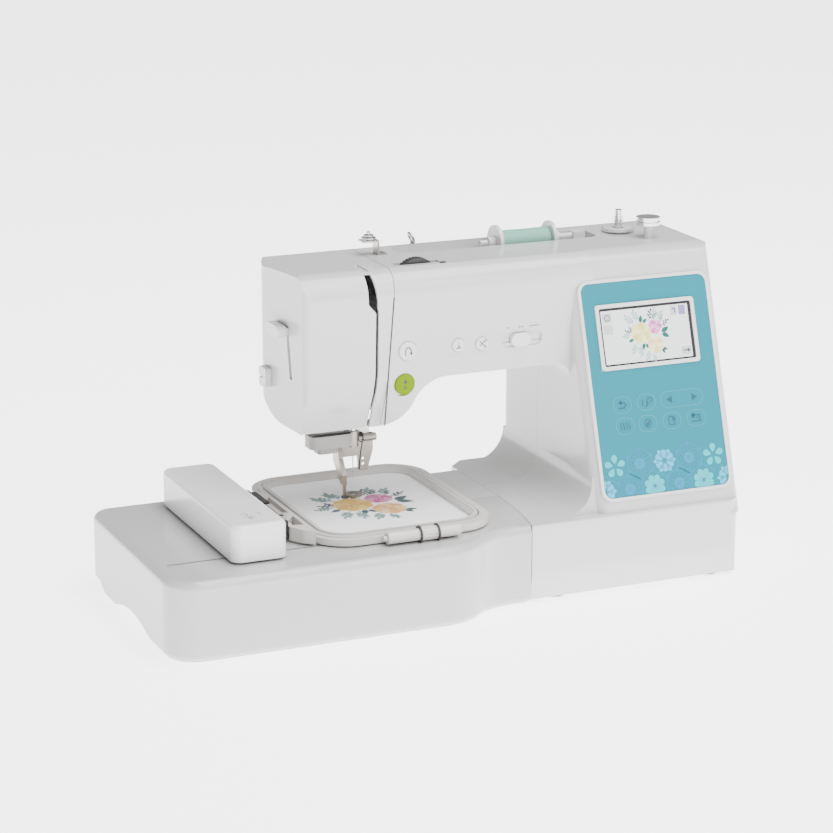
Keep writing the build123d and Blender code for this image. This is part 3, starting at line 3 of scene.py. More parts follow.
import bmesh
import bpy
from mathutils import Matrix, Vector


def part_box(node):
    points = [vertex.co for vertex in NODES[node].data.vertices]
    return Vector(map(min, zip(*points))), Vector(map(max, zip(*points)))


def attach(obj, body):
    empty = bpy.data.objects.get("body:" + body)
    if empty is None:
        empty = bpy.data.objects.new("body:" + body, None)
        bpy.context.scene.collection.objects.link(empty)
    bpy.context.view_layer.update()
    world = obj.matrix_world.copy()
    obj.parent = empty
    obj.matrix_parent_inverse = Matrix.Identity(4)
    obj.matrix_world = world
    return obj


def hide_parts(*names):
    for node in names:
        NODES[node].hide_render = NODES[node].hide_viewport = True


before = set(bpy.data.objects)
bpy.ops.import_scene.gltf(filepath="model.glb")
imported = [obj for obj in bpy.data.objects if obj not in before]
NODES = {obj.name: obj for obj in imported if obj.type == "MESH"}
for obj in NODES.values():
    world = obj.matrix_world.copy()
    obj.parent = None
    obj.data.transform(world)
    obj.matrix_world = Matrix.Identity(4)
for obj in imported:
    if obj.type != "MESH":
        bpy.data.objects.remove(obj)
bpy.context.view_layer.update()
MM = 0.001


# ---------------------------------------------------------------- camera, floor and light

CAMERA_PLACE = (-0.8735, -1.9857, 0.7419)
CAMERA_AZIMUTH = 23.4
CAMERA_ELEVATION = 15.46
CAMERA_LENS = 120.4
FLOOR_GLOW = 3.2
FLOOR_SIZE = 12.0
WORLD_STRENGTH = 0.5


def make_camera():
    """Camera at the front left, a little above the machine."""
    azimuth = math.radians(CAMERA_AZIMUTH)
    elevation = math.radians(CAMERA_ELEVATION)
    data = bpy.data.cameras.new("camera")
    data.sensor_width = 36.0
    data.lens = CAMERA_LENS
    data.clip_start, data.clip_end = 0.05, 50.0
    camera = bpy.data.objects.new("camera", data)
    forward = Vector((math.sin(azimuth) * math.cos(elevation), math.cos(azimuth) * math.cos(elevation),
                      -math.sin(elevation)))
    camera.location = CAMERA_PLACE
    camera.rotation_mode = "QUATERNION"
    camera.rotation_quaternion = forward.to_track_quat("-Z", "Y")
    bpy.context.scene.collection.objects.link(camera)
    bpy.context.scene.camera = camera


def area_light(name, place, target, size, power):
    """Soft square lamp that faces its target; sizes and places in metres, power in watts."""
    data = bpy.data.lights.new(name, "AREA")
    data.shape = "RECTANGLE"
    data.size = size
    data.size_y = size
    data.energy = power
    lamp = bpy.data.objects.new(name, data)
    lamp.location = place
    lamp.rotation_mode = "QUATERNION"
    lamp.rotation_quaternion = (Vector(target) - Vector(place)).to_track_quat("-Z", "Y")
    bpy.context.scene.collection.objects.link(lamp)


def make_studio():
    """Flat white floor that glows, even white surroundings and three soft lights."""
    world = bpy.data.worlds.new("studio")
    bpy.context.scene.world = world
    world.use_nodes = True
    world.node_tree.nodes["Background"].inputs["Color"].default_value = (1.0, 1.0, 1.0, 1.0)
    world.node_tree.nodes["Background"].inputs["Strength"].default_value = WORLD_STRENGTH
    mesh = bpy.data.meshes.new("floor")
    made = bmesh.new()
    bmesh.ops.create_grid(made, x_segments=8, y_segments=8, size=FLOOR_SIZE)
    made.to_mesh(mesh)
    made.free()
    floor = bpy.data.objects.new("floor", mesh)
    bpy.context.scene.collection.objects.link(floor)
    look = bpy.data.materials.new("floor_white")
    look.use_nodes = True
    shader = look.node_tree.nodes["Principled BSDF"]
    shader.inputs["Base Color"].default_value = (0.93, 0.93, 0.93, 1.0)
    shader.inputs["Roughness"].default_value = 0.9
    shader.inputs["Specular IOR Level"].default_value = 0.1
    shader.inputs["Emission Color"].default_value = (1.0, 1.0, 1.0, 1.0)
    shader.inputs["Emission Strength"].default_value = FLOOR_GLOW
    mesh.materials.append(look)
    area_light("key", (0.3, -1.9, 1.7), (0.0, 0.0, 0.14), 1.5, 34)
    area_light("fill", (1.6, -2.0, 0.9), (0.05, 0.0, 0.12), 1.6, 6)
    area_light("top", (0.5, -0.5, 2.3), (0.0, 0.0, 0.1), 1.7, 85)


make_camera()
make_studio()


# ---------------------------------------------------------------- materials

def add_node(tree, kind, **values):
    node = tree.nodes.new(kind)
    for key, value in values.items():
        if hasattr(node, key):
            setattr(node, key, value)
        else:
            node.inputs[key.replace("_", " ").title()].default_value = value
    return node


def new_look(name):
    look = bpy.data.materials.new(name)
    look.use_nodes = True
    tree = look.node_tree
    place = add_node(tree, "ShaderNodeTexCoord")
    return look, tree, tree.nodes["Principled BSDF"], place.outputs["Object"]


def varied(tree, place, colour, spread, scale):
    """Base colour that wanders a little, as a moulded or painted surface does."""
    noise = add_node(tree, "ShaderNodeTexNoise", Scale=scale, Detail=4.0)
    ramp = add_node(tree, "ShaderNodeValToRGB")
    ramp.color_ramp.elements[0].color = (*[c * (1 - spread) for c in colour], 1)
    ramp.color_ramp.elements[1].color = (*[min(1.0, c * (1 + spread)) for c in colour], 1)
    tree.links.new(place, noise.inputs["Vector"])
    tree.links.new(noise.outputs["Fac"], ramp.inputs["Fac"])
    return ramp.outputs["Color"]


def roughened(tree, place, low, high, scale):
    noise = add_node(tree, "ShaderNodeTexNoise", Scale=scale, Detail=3.0)
    span = add_node(tree, "ShaderNodeMapRange")
    span.inputs["To Min"].default_value = low
    span.inputs["To Max"].default_value = high
    tree.links.new(place, noise.inputs["Vector"])
    tree.links.new(noise.outputs["Fac"], span.inputs["Value"])
    return span.outputs["Result"]


def grained(tree, place, scale, strength, distance):
    noise = add_node(tree, "ShaderNodeTexNoise", Scale=scale, Detail=2.0)
    bump = add_node(tree, "ShaderNodeBump")
    bump.inputs["Strength"].default_value = strength
    bump.inputs["Distance"].default_value = distance
    tree.links.new(place, noise.inputs["Vector"])
    tree.links.new(noise.outputs["Fac"], bump.inputs["Height"])
    return bump.outputs["Normal"]


def plastic(name, colour, rough=0.3, coat=0.0, grain=0.06, spread=0.015, specular=0.5):
    """Moulded plastic: slight colour drift, uneven gloss and a fine moulded grain."""
    look, tree, shader, place = new_look(name)
    tree.links.new(varied(tree, place, colour, spread, 14.0), shader.inputs["Base Color"])
    tree.links.new(roughened(tree, place, rough * 0.9, rough * 1.12, 60.0), shader.inputs["Roughness"])
    tree.links.new(grained(tree, place, 1400.0, grain, 0.0001), shader.inputs["Normal"])
    shader.inputs["Specular IOR Level"].default_value = specular
    shader.inputs["Coat Weight"].default_value = coat
    shader.inputs["Coat Roughness"].default_value = 0.12
    return look


def metal(name, colour, rough=0.25, streak=(1.0, 1.0, 1.0), grain=0.1):
    """Metal with fine marks drawn out along one direction."""
    look, tree, shader, place = new_look(name)
    stretch = add_node(tree, "ShaderNodeMapping")
    stretch.inputs["Scale"].default_value = streak
    tree.links.new(place, stretch.inputs["Vector"])
    drawn = stretch.outputs["Vector"]
    shader.inputs["Metallic"].default_value = 1.0
    tree.links.new(varied(tree, drawn, colour, 0.06, 300.0), shader.inputs["Base Color"])
    tree.links.new(roughened(tree, drawn, rough * 0.75, rough * 1.3, 700.0), shader.inputs["Roughness"])
    tree.links.new(grained(tree, drawn, 1800.0, grain, 0.0001), shader.inputs["Normal"])
    return look


def clear_plastic(name):
    look, tree, shader, place = new_look(name)
    shader.inputs["Base Color"].default_value = (0.86, 0.9, 0.92, 1)
    shader.inputs["Transmission Weight"].default_value = 0.85
    shader.inputs["IOR"].default_value = 1.49
    tree.links.new(roughened(tree, place, 0.08, 0.16, 90.0), shader.inputs["Roughness"])
    return look


WHITE = plastic("white_gloss", (0.60, 0.60, 0.598), 0.2, coat=0.3, grain=0.04)
# Painted light: the carriage cover is the casing's white plastic made lighter, standing in for the brighter
# light on its top.
CARRIAGE_WHITE_PAINTED_LIGHT = plastic("carriage_white_painted_light", (0.86, 0.86, 0.858), 0.24, coat=0.25, grain=0.04)
# Painted shade: the embroidery unit's cover is the casing's white plastic made darker, standing in for the
# shade on its top.
UNIT_WHITE_PAINTED_SHADE = plastic("unit_white_painted_shade", (0.5, 0.5, 0.498), 0.2, coat=0.3, grain=0.04)
WHITE_TRIM = plastic("white_trim", (0.70, 0.70, 0.70), 0.26, coat=0.2)
BASE_WHITE = plastic("base_white", (0.5, 0.5, 0.505), 0.45)
TURQUOISE = plastic("overlay_turquoise", (0.004, 0.19, 0.245), 0.45, grain=0.1, specular=0.3)
SCREEN_BLACK = plastic("screen_black", (0.015, 0.015, 0.017), 0.12, coat=0.6, grain=0.0)
LIME = plastic("lime_plastic", (0.15, 0.25, 0.0), 0.45, specular=0.05)
DARK = plastic("dark_plastic", (0.022, 0.021, 0.021), 0.38, grain=0.12)
GREY = plastic("grey_plastic", (0.36, 0.35, 0.335), 0.42, grain=0.12)
WARM_GREY = plastic("hoop_grey", (0.64, 0.61, 0.585), 0.3, coat=0.25)
STEEL = metal("brushed_steel", (0.52, 0.5, 0.475), 0.27, streak=(1.0, 1.0, 0.08))
FOOT_STEEL = metal("foot_steel", (0.36, 0.325, 0.29), 0.3)
CHROME = metal("polished_steel", (0.72, 0.71, 0.7), 0.12)
CAST = metal("cast_aluminium", (0.5, 0.51, 0.52), 0.5, grain=0.3)
BOARD = plastic("circuit_board", (0.02, 0.14, 0.06), 0.4)
RUBBER = plastic("black_rubber", (0.02, 0.02, 0.02), 0.75, grain=0.3)
CLEAR = clear_plastic("clear_plastic")
THREAD = plastic("green_thread", (0.27, 0.53, 0.44), 0.6)
CLOTH = plastic("white_cloth", (0.82, 0.82, 0.84), 0.85, grain=0.4)

LOOKS = {
    "front_casing": WHITE, "rear_casing": WHITE, "face_cover": WHITE, "base_pan": BASE_WHITE,
    "free_arm_cover": WHITE, "unit_upper_cover": UNIT_WHITE_PAINTED_SHADE, "carriage_cover": CARRIAGE_WHITE_PAINTED_LIGHT,
    "panel_frame": WHITE_TRIM, "speed_slider": WHITE_TRIM, "reverse_button": WHITE_TRIM,
    "needle_position_button": WHITE_TRIM, "thread_cut_button": WHITE_TRIM, "threader_lever": WHITE_TRIM,
    "spool_caps": WHITE_TRIM, "spool_pin": WHITE_TRIM, "handwheel": WHITE_TRIM, "winder_shaft": CHROME,
    "presser_lever": CHROME, "thread_cutter": WHITE_TRIM, "operation_panel": TURQUOISE,
    "touch_screen": SCREEN_BLACK, "start_stop_button": LIME, "tension_dial": DARK, "power_inlet": DARK,
    "power_switch": DARK, "holder_lever": GREY, "bobbin_case": DARK, "unit_base": BASE_WHITE,
    "threader_guard": GREY, "frame_holder": DARK, "hoop_outer_frame": WARM_GREY,
    "hoop_inner_frame": WARM_GREY, "hoop_screw": WARM_GREY, "bobbin_cover": CLEAR, "bobbin": CLEAR,
    "needle_plate": STEEL, "main_shaft": STEEL, "lower_shaft": STEEL, "rotary_hook": STEEL,
    "feed_dog": STEEL, "motor_pulley": STEEL, "take_up_lever": STEEL, "needle_bar": CHROME,
    "needle_clamp": FOOT_STEEL, "presser_bar": FOOT_STEEL, "embroidery_foot": FOOT_STEEL, "main_motor": STEEL,
    "casing_screws": STEEL, "x_motor": STEEL, "x_pulley": STEEL, "thread_guides": STEEL,
    "winder_stop": CHROME, "carriage_frame": CAST, "needle": CHROME, "chassis": CAST,
    "control_board": BOARD, "drive_belts": RUBBER, "rubber_feet": RUBBER, "fabric": CLOTH,
    "thread_spool": THREAD,
}

for node_name, look in LOOKS.items():
    data = NODES[node_name].data
    data.materials.clear()
    data.materials.append(look)


# ---------------------------------------------------------------- mesh building

# Millimetres: height of printed marks and of thin lines, depth of a padded shape's hidden edge, and
# the small step between neighbouring parts of a line that keeps their tops apart.
INK = 0.06
LINE = 0.05
SKIRT = 0.2
STAGGER = 0.004
# Share of its width by which a line's parts run on past their ends.
RUN_ON = 0.35

class Relief:
    """Collects thin shapes laid on a surface; place(u, v, h) gives the point h mm above the surface."""

    def __init__(self, place, clip=None):
        self.place = place
        self.clip = clip
        self.points = []
        self.faces = []

    def _ring(self, outline, height):
        first = len(self.points)
        self.points += [self.place(u, v, height) for u, v in outline]
        return list(range(first, first + len(outline)))

    def _walls(self, low, high):
        count = len(low)
        for i in range(count):
            j = (i + 1) % count
            self.faces.append((low[i], low[j], high[j], high[i]))

    def slab(self, outline, low, high):
        """Flat shape with upright edges."""
        outline = clipped(outline, self.clip) if self.clip else outline
        if len(outline) < 3:
            return
        bottom = self._ring(outline, low)
        top = self._ring(outline, high)
        self._walls(bottom, top)
        self.faces.append(tuple(top))
        self.faces.append(tuple(reversed(bottom)))

    def puff(self, outline, low, rise, steps=3):
        """Padded shape that swells towards its middle, as stitching does."""
        cu = sum(u for u, v in outline) / len(outline)
        cv = sum(v for u, v in outline) / len(outline)
        last = self._ring(outline, low - SKIRT)
        self.faces.append(tuple(reversed(last)))
        for step in range(steps + 1):
            t = step / (steps + 1)
            size = math.cos(t * math.pi / 2)
            size = 0.15 + 0.85 * size if step else 1.0
            height = low + rise * math.sin(t * math.pi / 2)
            ring = self._ring([(cu + (u - cu) * size, cv + (v - cv) * size) for u, v in outline], height)
            self._walls(last, ring)
            last = ring
        self.faces.append(tuple(last))

    def stroke(self, path, width, low, high, closed=False):
        """Line of even width along a path."""
        count = len(path)
        spans = count if closed else count - 1
        for i in range(spans):
            (x0, y0), (x1, y1) = path[i], path[(i + 1) % count]
            length = math.hypot(x1 - x0, y1 - y0)
            if length < 1e-6:
                continue
            ax, ay = (x1 - x0) / length, (y1 - y0) / length
            grow = width * RUN_ON
            x0, y0, x1, y1 = x0 - ax * grow, y0 - ay * grow, x1 + ax * grow, y1 + ay * grow
            nx, ny = -ay * width / 2, ax * width / 2
            corners = [(x0 - nx, y0 - ny), (x1 - nx, y1 - ny), (x1 + nx, y1 + ny), (x0 + nx, y0 + ny)]
            self.slab(corners, low, high + STAGGER * (i % 3))

    def make(self, name, look, body):
        """Turns the collected shapes into a piece that rides on a body."""
        mesh = bpy.data.meshes.new(name)
        mesh.from_pydata([tuple(p) for p in self.points], [], self.faces)
        mesh.validate()
        tidy = bmesh.new()
        tidy.from_mesh(mesh)
        bmesh.ops.recalc_face_normals(tidy, faces=tidy.faces)
        tidy.to_mesh(mesh)
        tidy.free()
        piece = bpy.data.objects.new(name, mesh)
        bpy.context.scene.collection.objects.link(piece)
        mesh.materials.append(look)
        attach(piece, body)
        return piece


def clipped(outline, border):
    """Part of a convex outline inside a convex border that runs anticlockwise."""
    kept = list(outline)
    for i, (ax, ay) in enumerate(border):
        bx, by = border[(i + 1) % len(border)]
        side = [(bx - ax) * (v - ay) - (by - ay) * (u - ax) for u, v in kept]
        result = []
        for j, (u, v) in enumerate(kept):
            k = (j + 1) % len(kept)
            if side[j] >= 0:
                result.append((u, v))
            if (side[j] >= 0) != (side[k] >= 0):
                t = side[j] / (side[j] - side[k])
                result.append((u + (kept[k][0] - u) * t, v + (kept[k][1] - v) * t))
        kept = result
        if len(kept) < 3:
            return []
    return kept


def oval(cu, cv, ru, rv=None, count=24):
    """Ellipse, or a circle if one radius is given."""
    rv = rv or ru
    return [(cu + ru * math.cos(2 * math.pi * i / count), cv + rv * math.sin(2 * math.pi * i / count))
            for i in range(count)]


def rounded_rectangle(cu, cv, width, height, radius, steps=7):
    path = []
    corners = ((1, 1, 0), (-1, 1, 90), (-1, -1, 180), (1, -1, 270))
    for su, sv, start in corners:
        for step in range(steps):
            angle = math.radians(start + 90 * step / (steps - 1))
            path.append((cu + su * (width / 2 - radius) + radius * math.cos(angle),
                         cv + sv * (height / 2 - radius) + radius * math.sin(angle)))
    return path


def turned(outline, angle, cu=0.0, cv=0.0, size=1.0):
    """Outline turned by an angle in degrees, scaled and moved."""
    c, s = math.cos(math.radians(angle)), math.sin(math.radians(angle))
    return [(cu + size * (u * c - v * s), cv + size * (u * s + v * c)) for u, v in outline]


def leaf(length, width, count=9):
    """Pointed leaf along +U from the origin."""
    steps = [i / count for i in range(1, count)]
    upper = [(length * t, width / 2 * math.sin(math.pi * t ** 0.8)) for t in steps]
    return [(0.0, 0.0), *[(u, -v) for u, v in upper], (length, 0.0), *reversed(upper)]


def petal(length, width, count=8):
    """Broad rounded petal along +U from the origin."""
    steps = [i / count for i in range(1, count)]
    side = [(length * t, width / 2 * math.sin(math.pi * t ** 1.5) ** 0.6) for t in steps]
    return [(0.0, 0.0), *[(u, -v) for u, v in side], (length, 0.0), *reversed(side)]


def upright(y_front):
    """Surface that faces the front: U along X, V up."""
    return lambda u, v, h: (u * MM, (y_front - h) * MM, v * MM)


def level(top, cu=0.0, cv=0.0, size=1.0):
    """Surface that faces up: U along X, V to the rear."""
    return lambda u, v, h: ((cu + u * size) * MM, (cv + v * size) * MM, (top + h) * MM)


def box_mm(node):
    """Low and high corners of a node's box, in mm."""
    low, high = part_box(node)
    return [c * 1000 for c in low], [c * 1000 for c in high]


# ---------------------------------------------------------------- the flower design

DESIGN_CENTRE = (-52.0, 17.0)
FABRIC_SCALE = 1.95
SIDE_LEAF_ANGLE = 58
FABRIC_CORNER = 24.5


def rose(layers, cu, cv, radius, turn, low, rise):
    """Petals in five rings round a heart; layers are the reliefs of the tones, which take turns."""
    rings = ((1.0, 9, 0.62, 0), (0.8, 8, 0.6, 1), (0.6, 7, 0.62, 2), (0.4, 5, 0.6, 0), (0.22, 4, 0.7, 1))
    for order, (reach, count, broad, tone) in enumerate(rings):
        for i in range(count):
            angle = turn + 360.0 * (i + 0.37 * order) / count
            start = reach * radius * 0.38
            shape = petal(reach * radius * 0.62, broad * reach * radius)
            c, s = math.cos(math.radians(angle)), math.sin(math.radians(angle))
            shape = turned(shape, angle, cu + start * c, cv + start * s)
            layers[(tone + i) % len(layers)].puff(shape, low + rise * (0.35 * order + 0.05 * (i % 3)), rise)
    layers[0].puff(oval(cu, cv, radius * 0.16), low + rise * 1.9, rise)


def sprig(layer, cu, cv, angle, size, low, rise, leaves=5, line=0.35):
    """Stem with small leaves on alternate sides and one at its tip."""
    c, s = math.cos(math.radians(angle)), math.sin(math.radians(angle))
    layer.stroke([(cu, cv), (cu + size * c, cv + size * s)], line, low - 0.1, low + rise * 0.6)
    for i in range(leaves):
        t = 0.25 + 0.75 * i / max(1, leaves - 1)
        side = (SIDE_LEAF_ANGLE if i % 2 else -SIDE_LEAF_ANGLE) * (0 if i == leaves - 1 else 1)
        layer.puff(turned(leaf(size * 0.42, size * 0.2), angle + side, cu + size * t * c, cv + size * t * s),
                   low, rise)


def flower_design(place, low, rise, name, body, tones):
    """The three roses with their leaves, as one relief per colour."""
    sets = {colour: Relief(place) for colour in tones}
    rose([sets["yellow"], sets["straw"], sets["amber"]], -5.2, 1.3, 8.9, 10, low, rise)
    rose([sets["pink"], sets["blush"], sets["magenta"]], 8.0, 5.4, 6.2, 40, low, rise)
    rose([sets["peach"], sets["cream"], sets["apricot"]], 7.0, -9.3, 7.4, 70, low + rise * 0.4, rise)
    dark = sets["leaf"]
    for cu, cv, angle, size in ((-4.8, 9.6, 80, 6.5), (-2.6, 9.4, 40, 5.0), (13.6, 0.6, 28, 7.6),
                                (13.8, -0.6, -28, 7.4), (-12.6, -3.0, 205, 5.2), (-3.2, -7.2, 250, 5.8),
                                (-1.6, -7.6, 290, 4.6), (12.4, -13.2, 300, 4.6), (13.2, -12.6, 340, 4.4)):
        dark.puff(turned(leaf(size, size * 0.52), angle, cu, cv), low, rise)
    for cu, cv, angle, size in ((-13.2, 2.2, 160, 5.2), (-13.0, 3.2, 120, 3.8), (3.0, 11.4, 70, 7.0),
                                (5.6, 11.8, 40, 5.4), (14.2, 6.2, 30, 6.2), (12.6, 9.2, 55, 4.2)):
        sprig(sets["shadow"], cu, cv, angle, size, low, rise)
    for cu, cv, angle, size in ((-11.0, 8.0, 130, 8.6), (-7.5, 10.4, 105, 8.4), (7.6, 11.8, 80, 7.4),
                                (10.6, 10.6, 48, 7.2), (-9.6, -6.8, 235, 7.8), (-6.2, -8.4, 262, 7.4),
                                (1.6, -13.2, 240, 7.0), (4.6, -16.2, 275, 5.4), (-14.2, 0.2, 182, 6.4)):
        sprig(sets["sage"], cu, cv, angle, size, low, rise, leaves=7)
    return [sets[colour].make(f"{name}_{colour}", tones[colour], body) for colour in tones]


def satin(name, colour, turn):
    """Embroidery thread: close parallel strands with a soft sheen."""
    look, tree, shader, place = new_look(name)
    aim = add_node(tree, "ShaderNodeMapping")
    aim.inputs["Rotation"].default_value = (0.0, 0.0, math.radians(turn))
    waves = add_node(tree, "ShaderNodeTexWave", wave_type="BANDS", bands_direction="X")
    waves.inputs["Scale"].default_value = 900.0
    waves.inputs["Distortion"].default_value = 1.2
    waves.inputs["Detail"].default_value = 2.0
    ramp = add_node(tree, "ShaderNodeValToRGB")
    ramp.color_ramp.elements[0].color = (*[c * 0.72 for c in colour], 1)
    ramp.color_ramp.elements[1].color = (*[min(1.0, c * 1.12) for c in colour], 1)
    bump = add_node(tree, "ShaderNodeBump")
    bump.inputs["Strength"].default_value = 0.5
    bump.inputs["Distance"].default_value = 0.0002
    tree.links.new(place, aim.inputs["Vector"])
    tree.links.new(aim.outputs["Vector"], waves.inputs["Vector"])
    tree.links.new(waves.outputs["Fac"], ramp.inputs["Fac"])
    tree.links.new(waves.outputs["Fac"], bump.inputs["Height"])
    tree.links.new(ramp.outputs["Color"], shader.inputs["Base Color"])
    tree.links.new(bump.outputs["Normal"], shader.inputs["Normal"])
    shader.inputs["Roughness"].default_value = 0.5
    shader.inputs["Sheen Weight"].default_value = 0.25
    return look


def lit(name, colour, glow=0.35):
    """Part of the lit display."""
    look, tree, shader, place = new_look(name)
    tint = varied(tree, place, colour, 0.02, 60.0)
    tree.links.new(tint, shader.inputs["Base Color"])
    tree.links.new(tint, shader.inputs["Emission Color"])
    shader.inputs["Emission Strength"].default_value = glow
    shader.inputs["Roughness"].default_value = 0.3
    return look


THREADS = {"yellow": (0.80, 0.50, 0.07), "straw": (0.86, 0.60, 0.15), "amber": (0.76, 0.40, 0.04),
           "pink": (0.72, 0.17, 0.42), "blush": (0.80, 0.32, 0.52), "magenta": (0.60, 0.09, 0.30),
           "peach": (0.85, 0.50, 0.20), "cream": (0.90, 0.64, 0.30), "apricot": (0.80, 0.38, 0.13),
           "leaf": (0.006, 0.055, 0.065), "shadow": (0.03, 0.045, 0.09), "sage": (0.18, 0.30, 0.29)}
PIXELS = {"yellow": (0.74, 0.70, 0.24), "straw": (0.80, 0.78, 0.36), "amber": (0.70, 0.60, 0.20),
          "pink": (0.72, 0.22, 0.50), "blush": (0.80, 0.38, 0.62), "magenta": (0.58, 0.14, 0.40),
          "peach": (0.80, 0.68, 0.36), "cream": (0.86, 0.78, 0.48), "apricot": (0.76, 0.56, 0.32),
          "leaf": (0.005, 0.11, 0.09), "shadow": (0.03, 0.035, 0.06), "sage": (0.32, 0.48, 0.45)}


def hooped_fabric():
    """Woven sheet across the hoop, drawn tight, with the stitched design on it."""
    low, high = box_mm("fabric")
    cu, cv = (low[0] + high[0]) / 2, (low[1] + high[1]) / 2
    width, length = high[0] - low[0], high[1] - low[1]
    edge = rounded_rectangle(0, 0, width - 0.2, length - 0.2, FABRIC_CORNER, 10)
    points = []
    faces = []
    rings = 12
    for ring in range(rings):
        size = 1 - ring / rings
        for u, v in edge:
            dip = 0.12 * math.sin(u * size / 17.0) * math.sin(v * size / 23.0) * (1 - size)
            points.append(((cu + u * size) * MM, (cv + v * size) * MM, (high[2] - 0.1 + dip) * MM))
    points.append((cu * MM, cv * MM, (high[2] - 0.1) * MM))
    count = len(edge)
    for ring in range(rings - 1):
        for i in range(count):
            j = (i + 1) % count
            a, b = ring * count, (ring + 1) * count
            faces.append((a + i, a + j, b + j, b + i))
    middle = len(points) - 1
    faces += [((rings - 1) * count + i, (rings - 1) * count + (i + 1) % count, middle) for i in range(count)]
    mesh = bpy.data.meshes.new("hooped_fabric")
    mesh.from_pydata(points, [], faces)
    for face in mesh.polygons:
        face.use_smooth = True
    piece = bpy.data.objects.new("hooped_fabric", mesh)
    bpy.context.scene.collection.objects.link(piece)
    mesh.materials.append(woven("woven_cotton", (0.98, 0.98, 1.0)))
    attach(piece, "hoop")
    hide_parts("fabric")
    tones = {colour: satin(f"thread_{colour}", THREADS[colour], 35 * i) for i, colour in enumerate(THREADS)}
    place = level(high[2], *DESIGN_CENTRE, FABRIC_SCALE)
    stitched = flower_design(place, 0.05, 0.3, "stitch", "hoop", tones)


def woven(name, colour):
    """Plain weave: two crossed sets of fine ribs."""
    look, tree, shader, place = new_look(name)
    heights = []
    for direction in ("X", "Y"):
        waves = add_node(tree, "ShaderNodeTexWave", wave_type="BANDS", bands_direction=direction)
        waves.inputs["Scale"].default_value = 420.0
        waves.inputs["Distortion"].default_value = 0.6
        tree.links.new(place, waves.inputs["Vector"])
        heights.append(waves.outputs["Fac"])
    both = add_node(tree, "ShaderNodeMath", operation="MULTIPLY")
    tree.links.new(heights[0], both.inputs[0])
    tree.links.new(heights[1], both.inputs[1])
    bump = add_node(tree, "ShaderNodeBump")
    bump.inputs["Strength"].default_value = 0.25
    bump.inputs["Distance"].default_value = 0.0002
    tree.links.new(both.outputs["Value"], bump.inputs["Height"])
    tree.links.new(bump.outputs["Normal"], shader.inputs["Normal"])
    tree.links.new(varied(tree, place, colour, 0.02, 40.0), shader.inputs["Base Color"])
    shader.inputs["Roughness"].default_value = 0.85
    shader.inputs["Sheen Weight"].default_value = 0.15
    return look


hooped_fabric()


# ---------------------------------------------------------------- panel

# Rearward run of the panel for each millimetre of height.
LEAN = 0.3197
LEAN_COS = math.cos(math.atan(LEAN))
LEAN_SIN = math.sin(math.atan(LEAN))
# Heights of the two rows of keys, of the screen's edges and of the lattice's top.
UPPER_KEYS = 149.3
LOWER_KEYS = 132.8
SCREEN_BOTTOM = 176.5
SCREEN_TOP = 227.6
LATTICE_TOP = 115.2
STAR_X = 153.3
STAR_RADIUS = 13.05
# How far the display lies above the overlay's face.
GLASS_RISE = 0.24


def panel_surface():
    """Face of the overlay: U along X, V up the slope from its lower edge."""
    low, high = box_mm("operation_panel")
    thick = (high[1] - low[1] - LEAN * (high[2] - low[2])) / (LEAN_COS + LEAN * LEAN_SIN)
    y0 = low[1]
    z0 = low[2] + thick * LEAN_SIN

    def face(u, v, h):
        return (u * MM, (y0 + v * LEAN_SIN - h * LEAN_COS) * MM, (z0 + v * LEAN_COS + h * LEAN_SIN) * MM)

    return face


def at_height(z):
    """Distance up the overlay's slope at height z."""
    low, _ = box_mm("operation_panel")
    return (z - low[2]) / LEAN_COS


def key_icons(ink):
    """Generic marks on the keys: return, needle and heart, arrows, stitches, leaf, page and machine."""
    up, down = at_height(UPPER_KEYS), at_height(LOWER_KEYS)
    hook = [(140.6, up - 2.6), (145.4, up - 2.6), (147.2, up - 0.4), (145.8, up + 1.7), (142.0, up + 1.7)]
    ink.stroke(hook, 1.1, 0, INK)
    ink.slab([(140.2, up + 1.7), (143.4, up + 4.0), (143.4, up - 0.6)], 0, INK)
    ink.stroke([(162.4, up - 2.6), (162.6, up + 2.2)], 0.9, 0, INK)
    ink.stroke([(165.4, up - 3.4), (167.2, up - 1.6), (166.2, up + 0.8)], 1.3, 0, INK)
    heart = [(167.4, up + 1.2), (168.2, up + 3.6), (171.0, up + 3.2), (171.2, up + 0.8), (168.8, up - 0.4)]
    ink.stroke(heart, 0.9, 0, INK)
    ink.slab([(184.2, up), (189.4, up + 3.2), (189.4, up - 3.2)], 0, INK)
    ink.slab([(212.8, up), (207.6, up - 3.2), (207.6, up + 3.2)], 0, INK)
    for i in range(4):
        u = 140.4 + 2.5 * i
        stitch = [(u, down - 3.0), (u + 0.9, down - 0.6), (u - 0.3, down + 0.8), (u + 0.7, down + 3.0)]
        ink.stroke(stitch, 0.8, 0, INK)
    ink.stroke(oval(165.1, down, 2.9, 3.5, 16), 0.8, 0, INK, closed=True)
    ink.slab(turned(leaf(5.4, 2.8), 60, 163.8, down - 2.6), 0, INK)
    ink.stroke(rounded_rectangle(187.0, down, 5.2, 6.8, 1.2, 3), 0.8, 0, INK, closed=True)
    ink.slab([(187.2, down - 0.4), (191.2, down + 1.4), (188.4, down + 4.0)], 0, INK)
    ink.stroke([(205.2, down - 2.6), (214.2, down - 2.6)], 1.0, 0, INK)
    ink.stroke([(206.0, down + 2.4), (213.0, down + 2.4), (213.0, down - 2.4)], 1.1, 0, INK)
    ink.slab([(205.0, down + 0.2), (208.6, down + 0.2), (208.6, down + 4.0), (206.0, down + 4.0)], 0, INK)
    ink.stroke([(210.0, down - 0.4), (211.4, down + 1.0)], 0.9, 0, INK)


def hexagon(cu, cv, radius):
    return [(cu + radius * math.sin(math.radians(60 * i)), cv + radius * math.cos(math.radians(60 * i)))
            for i in range(6)]


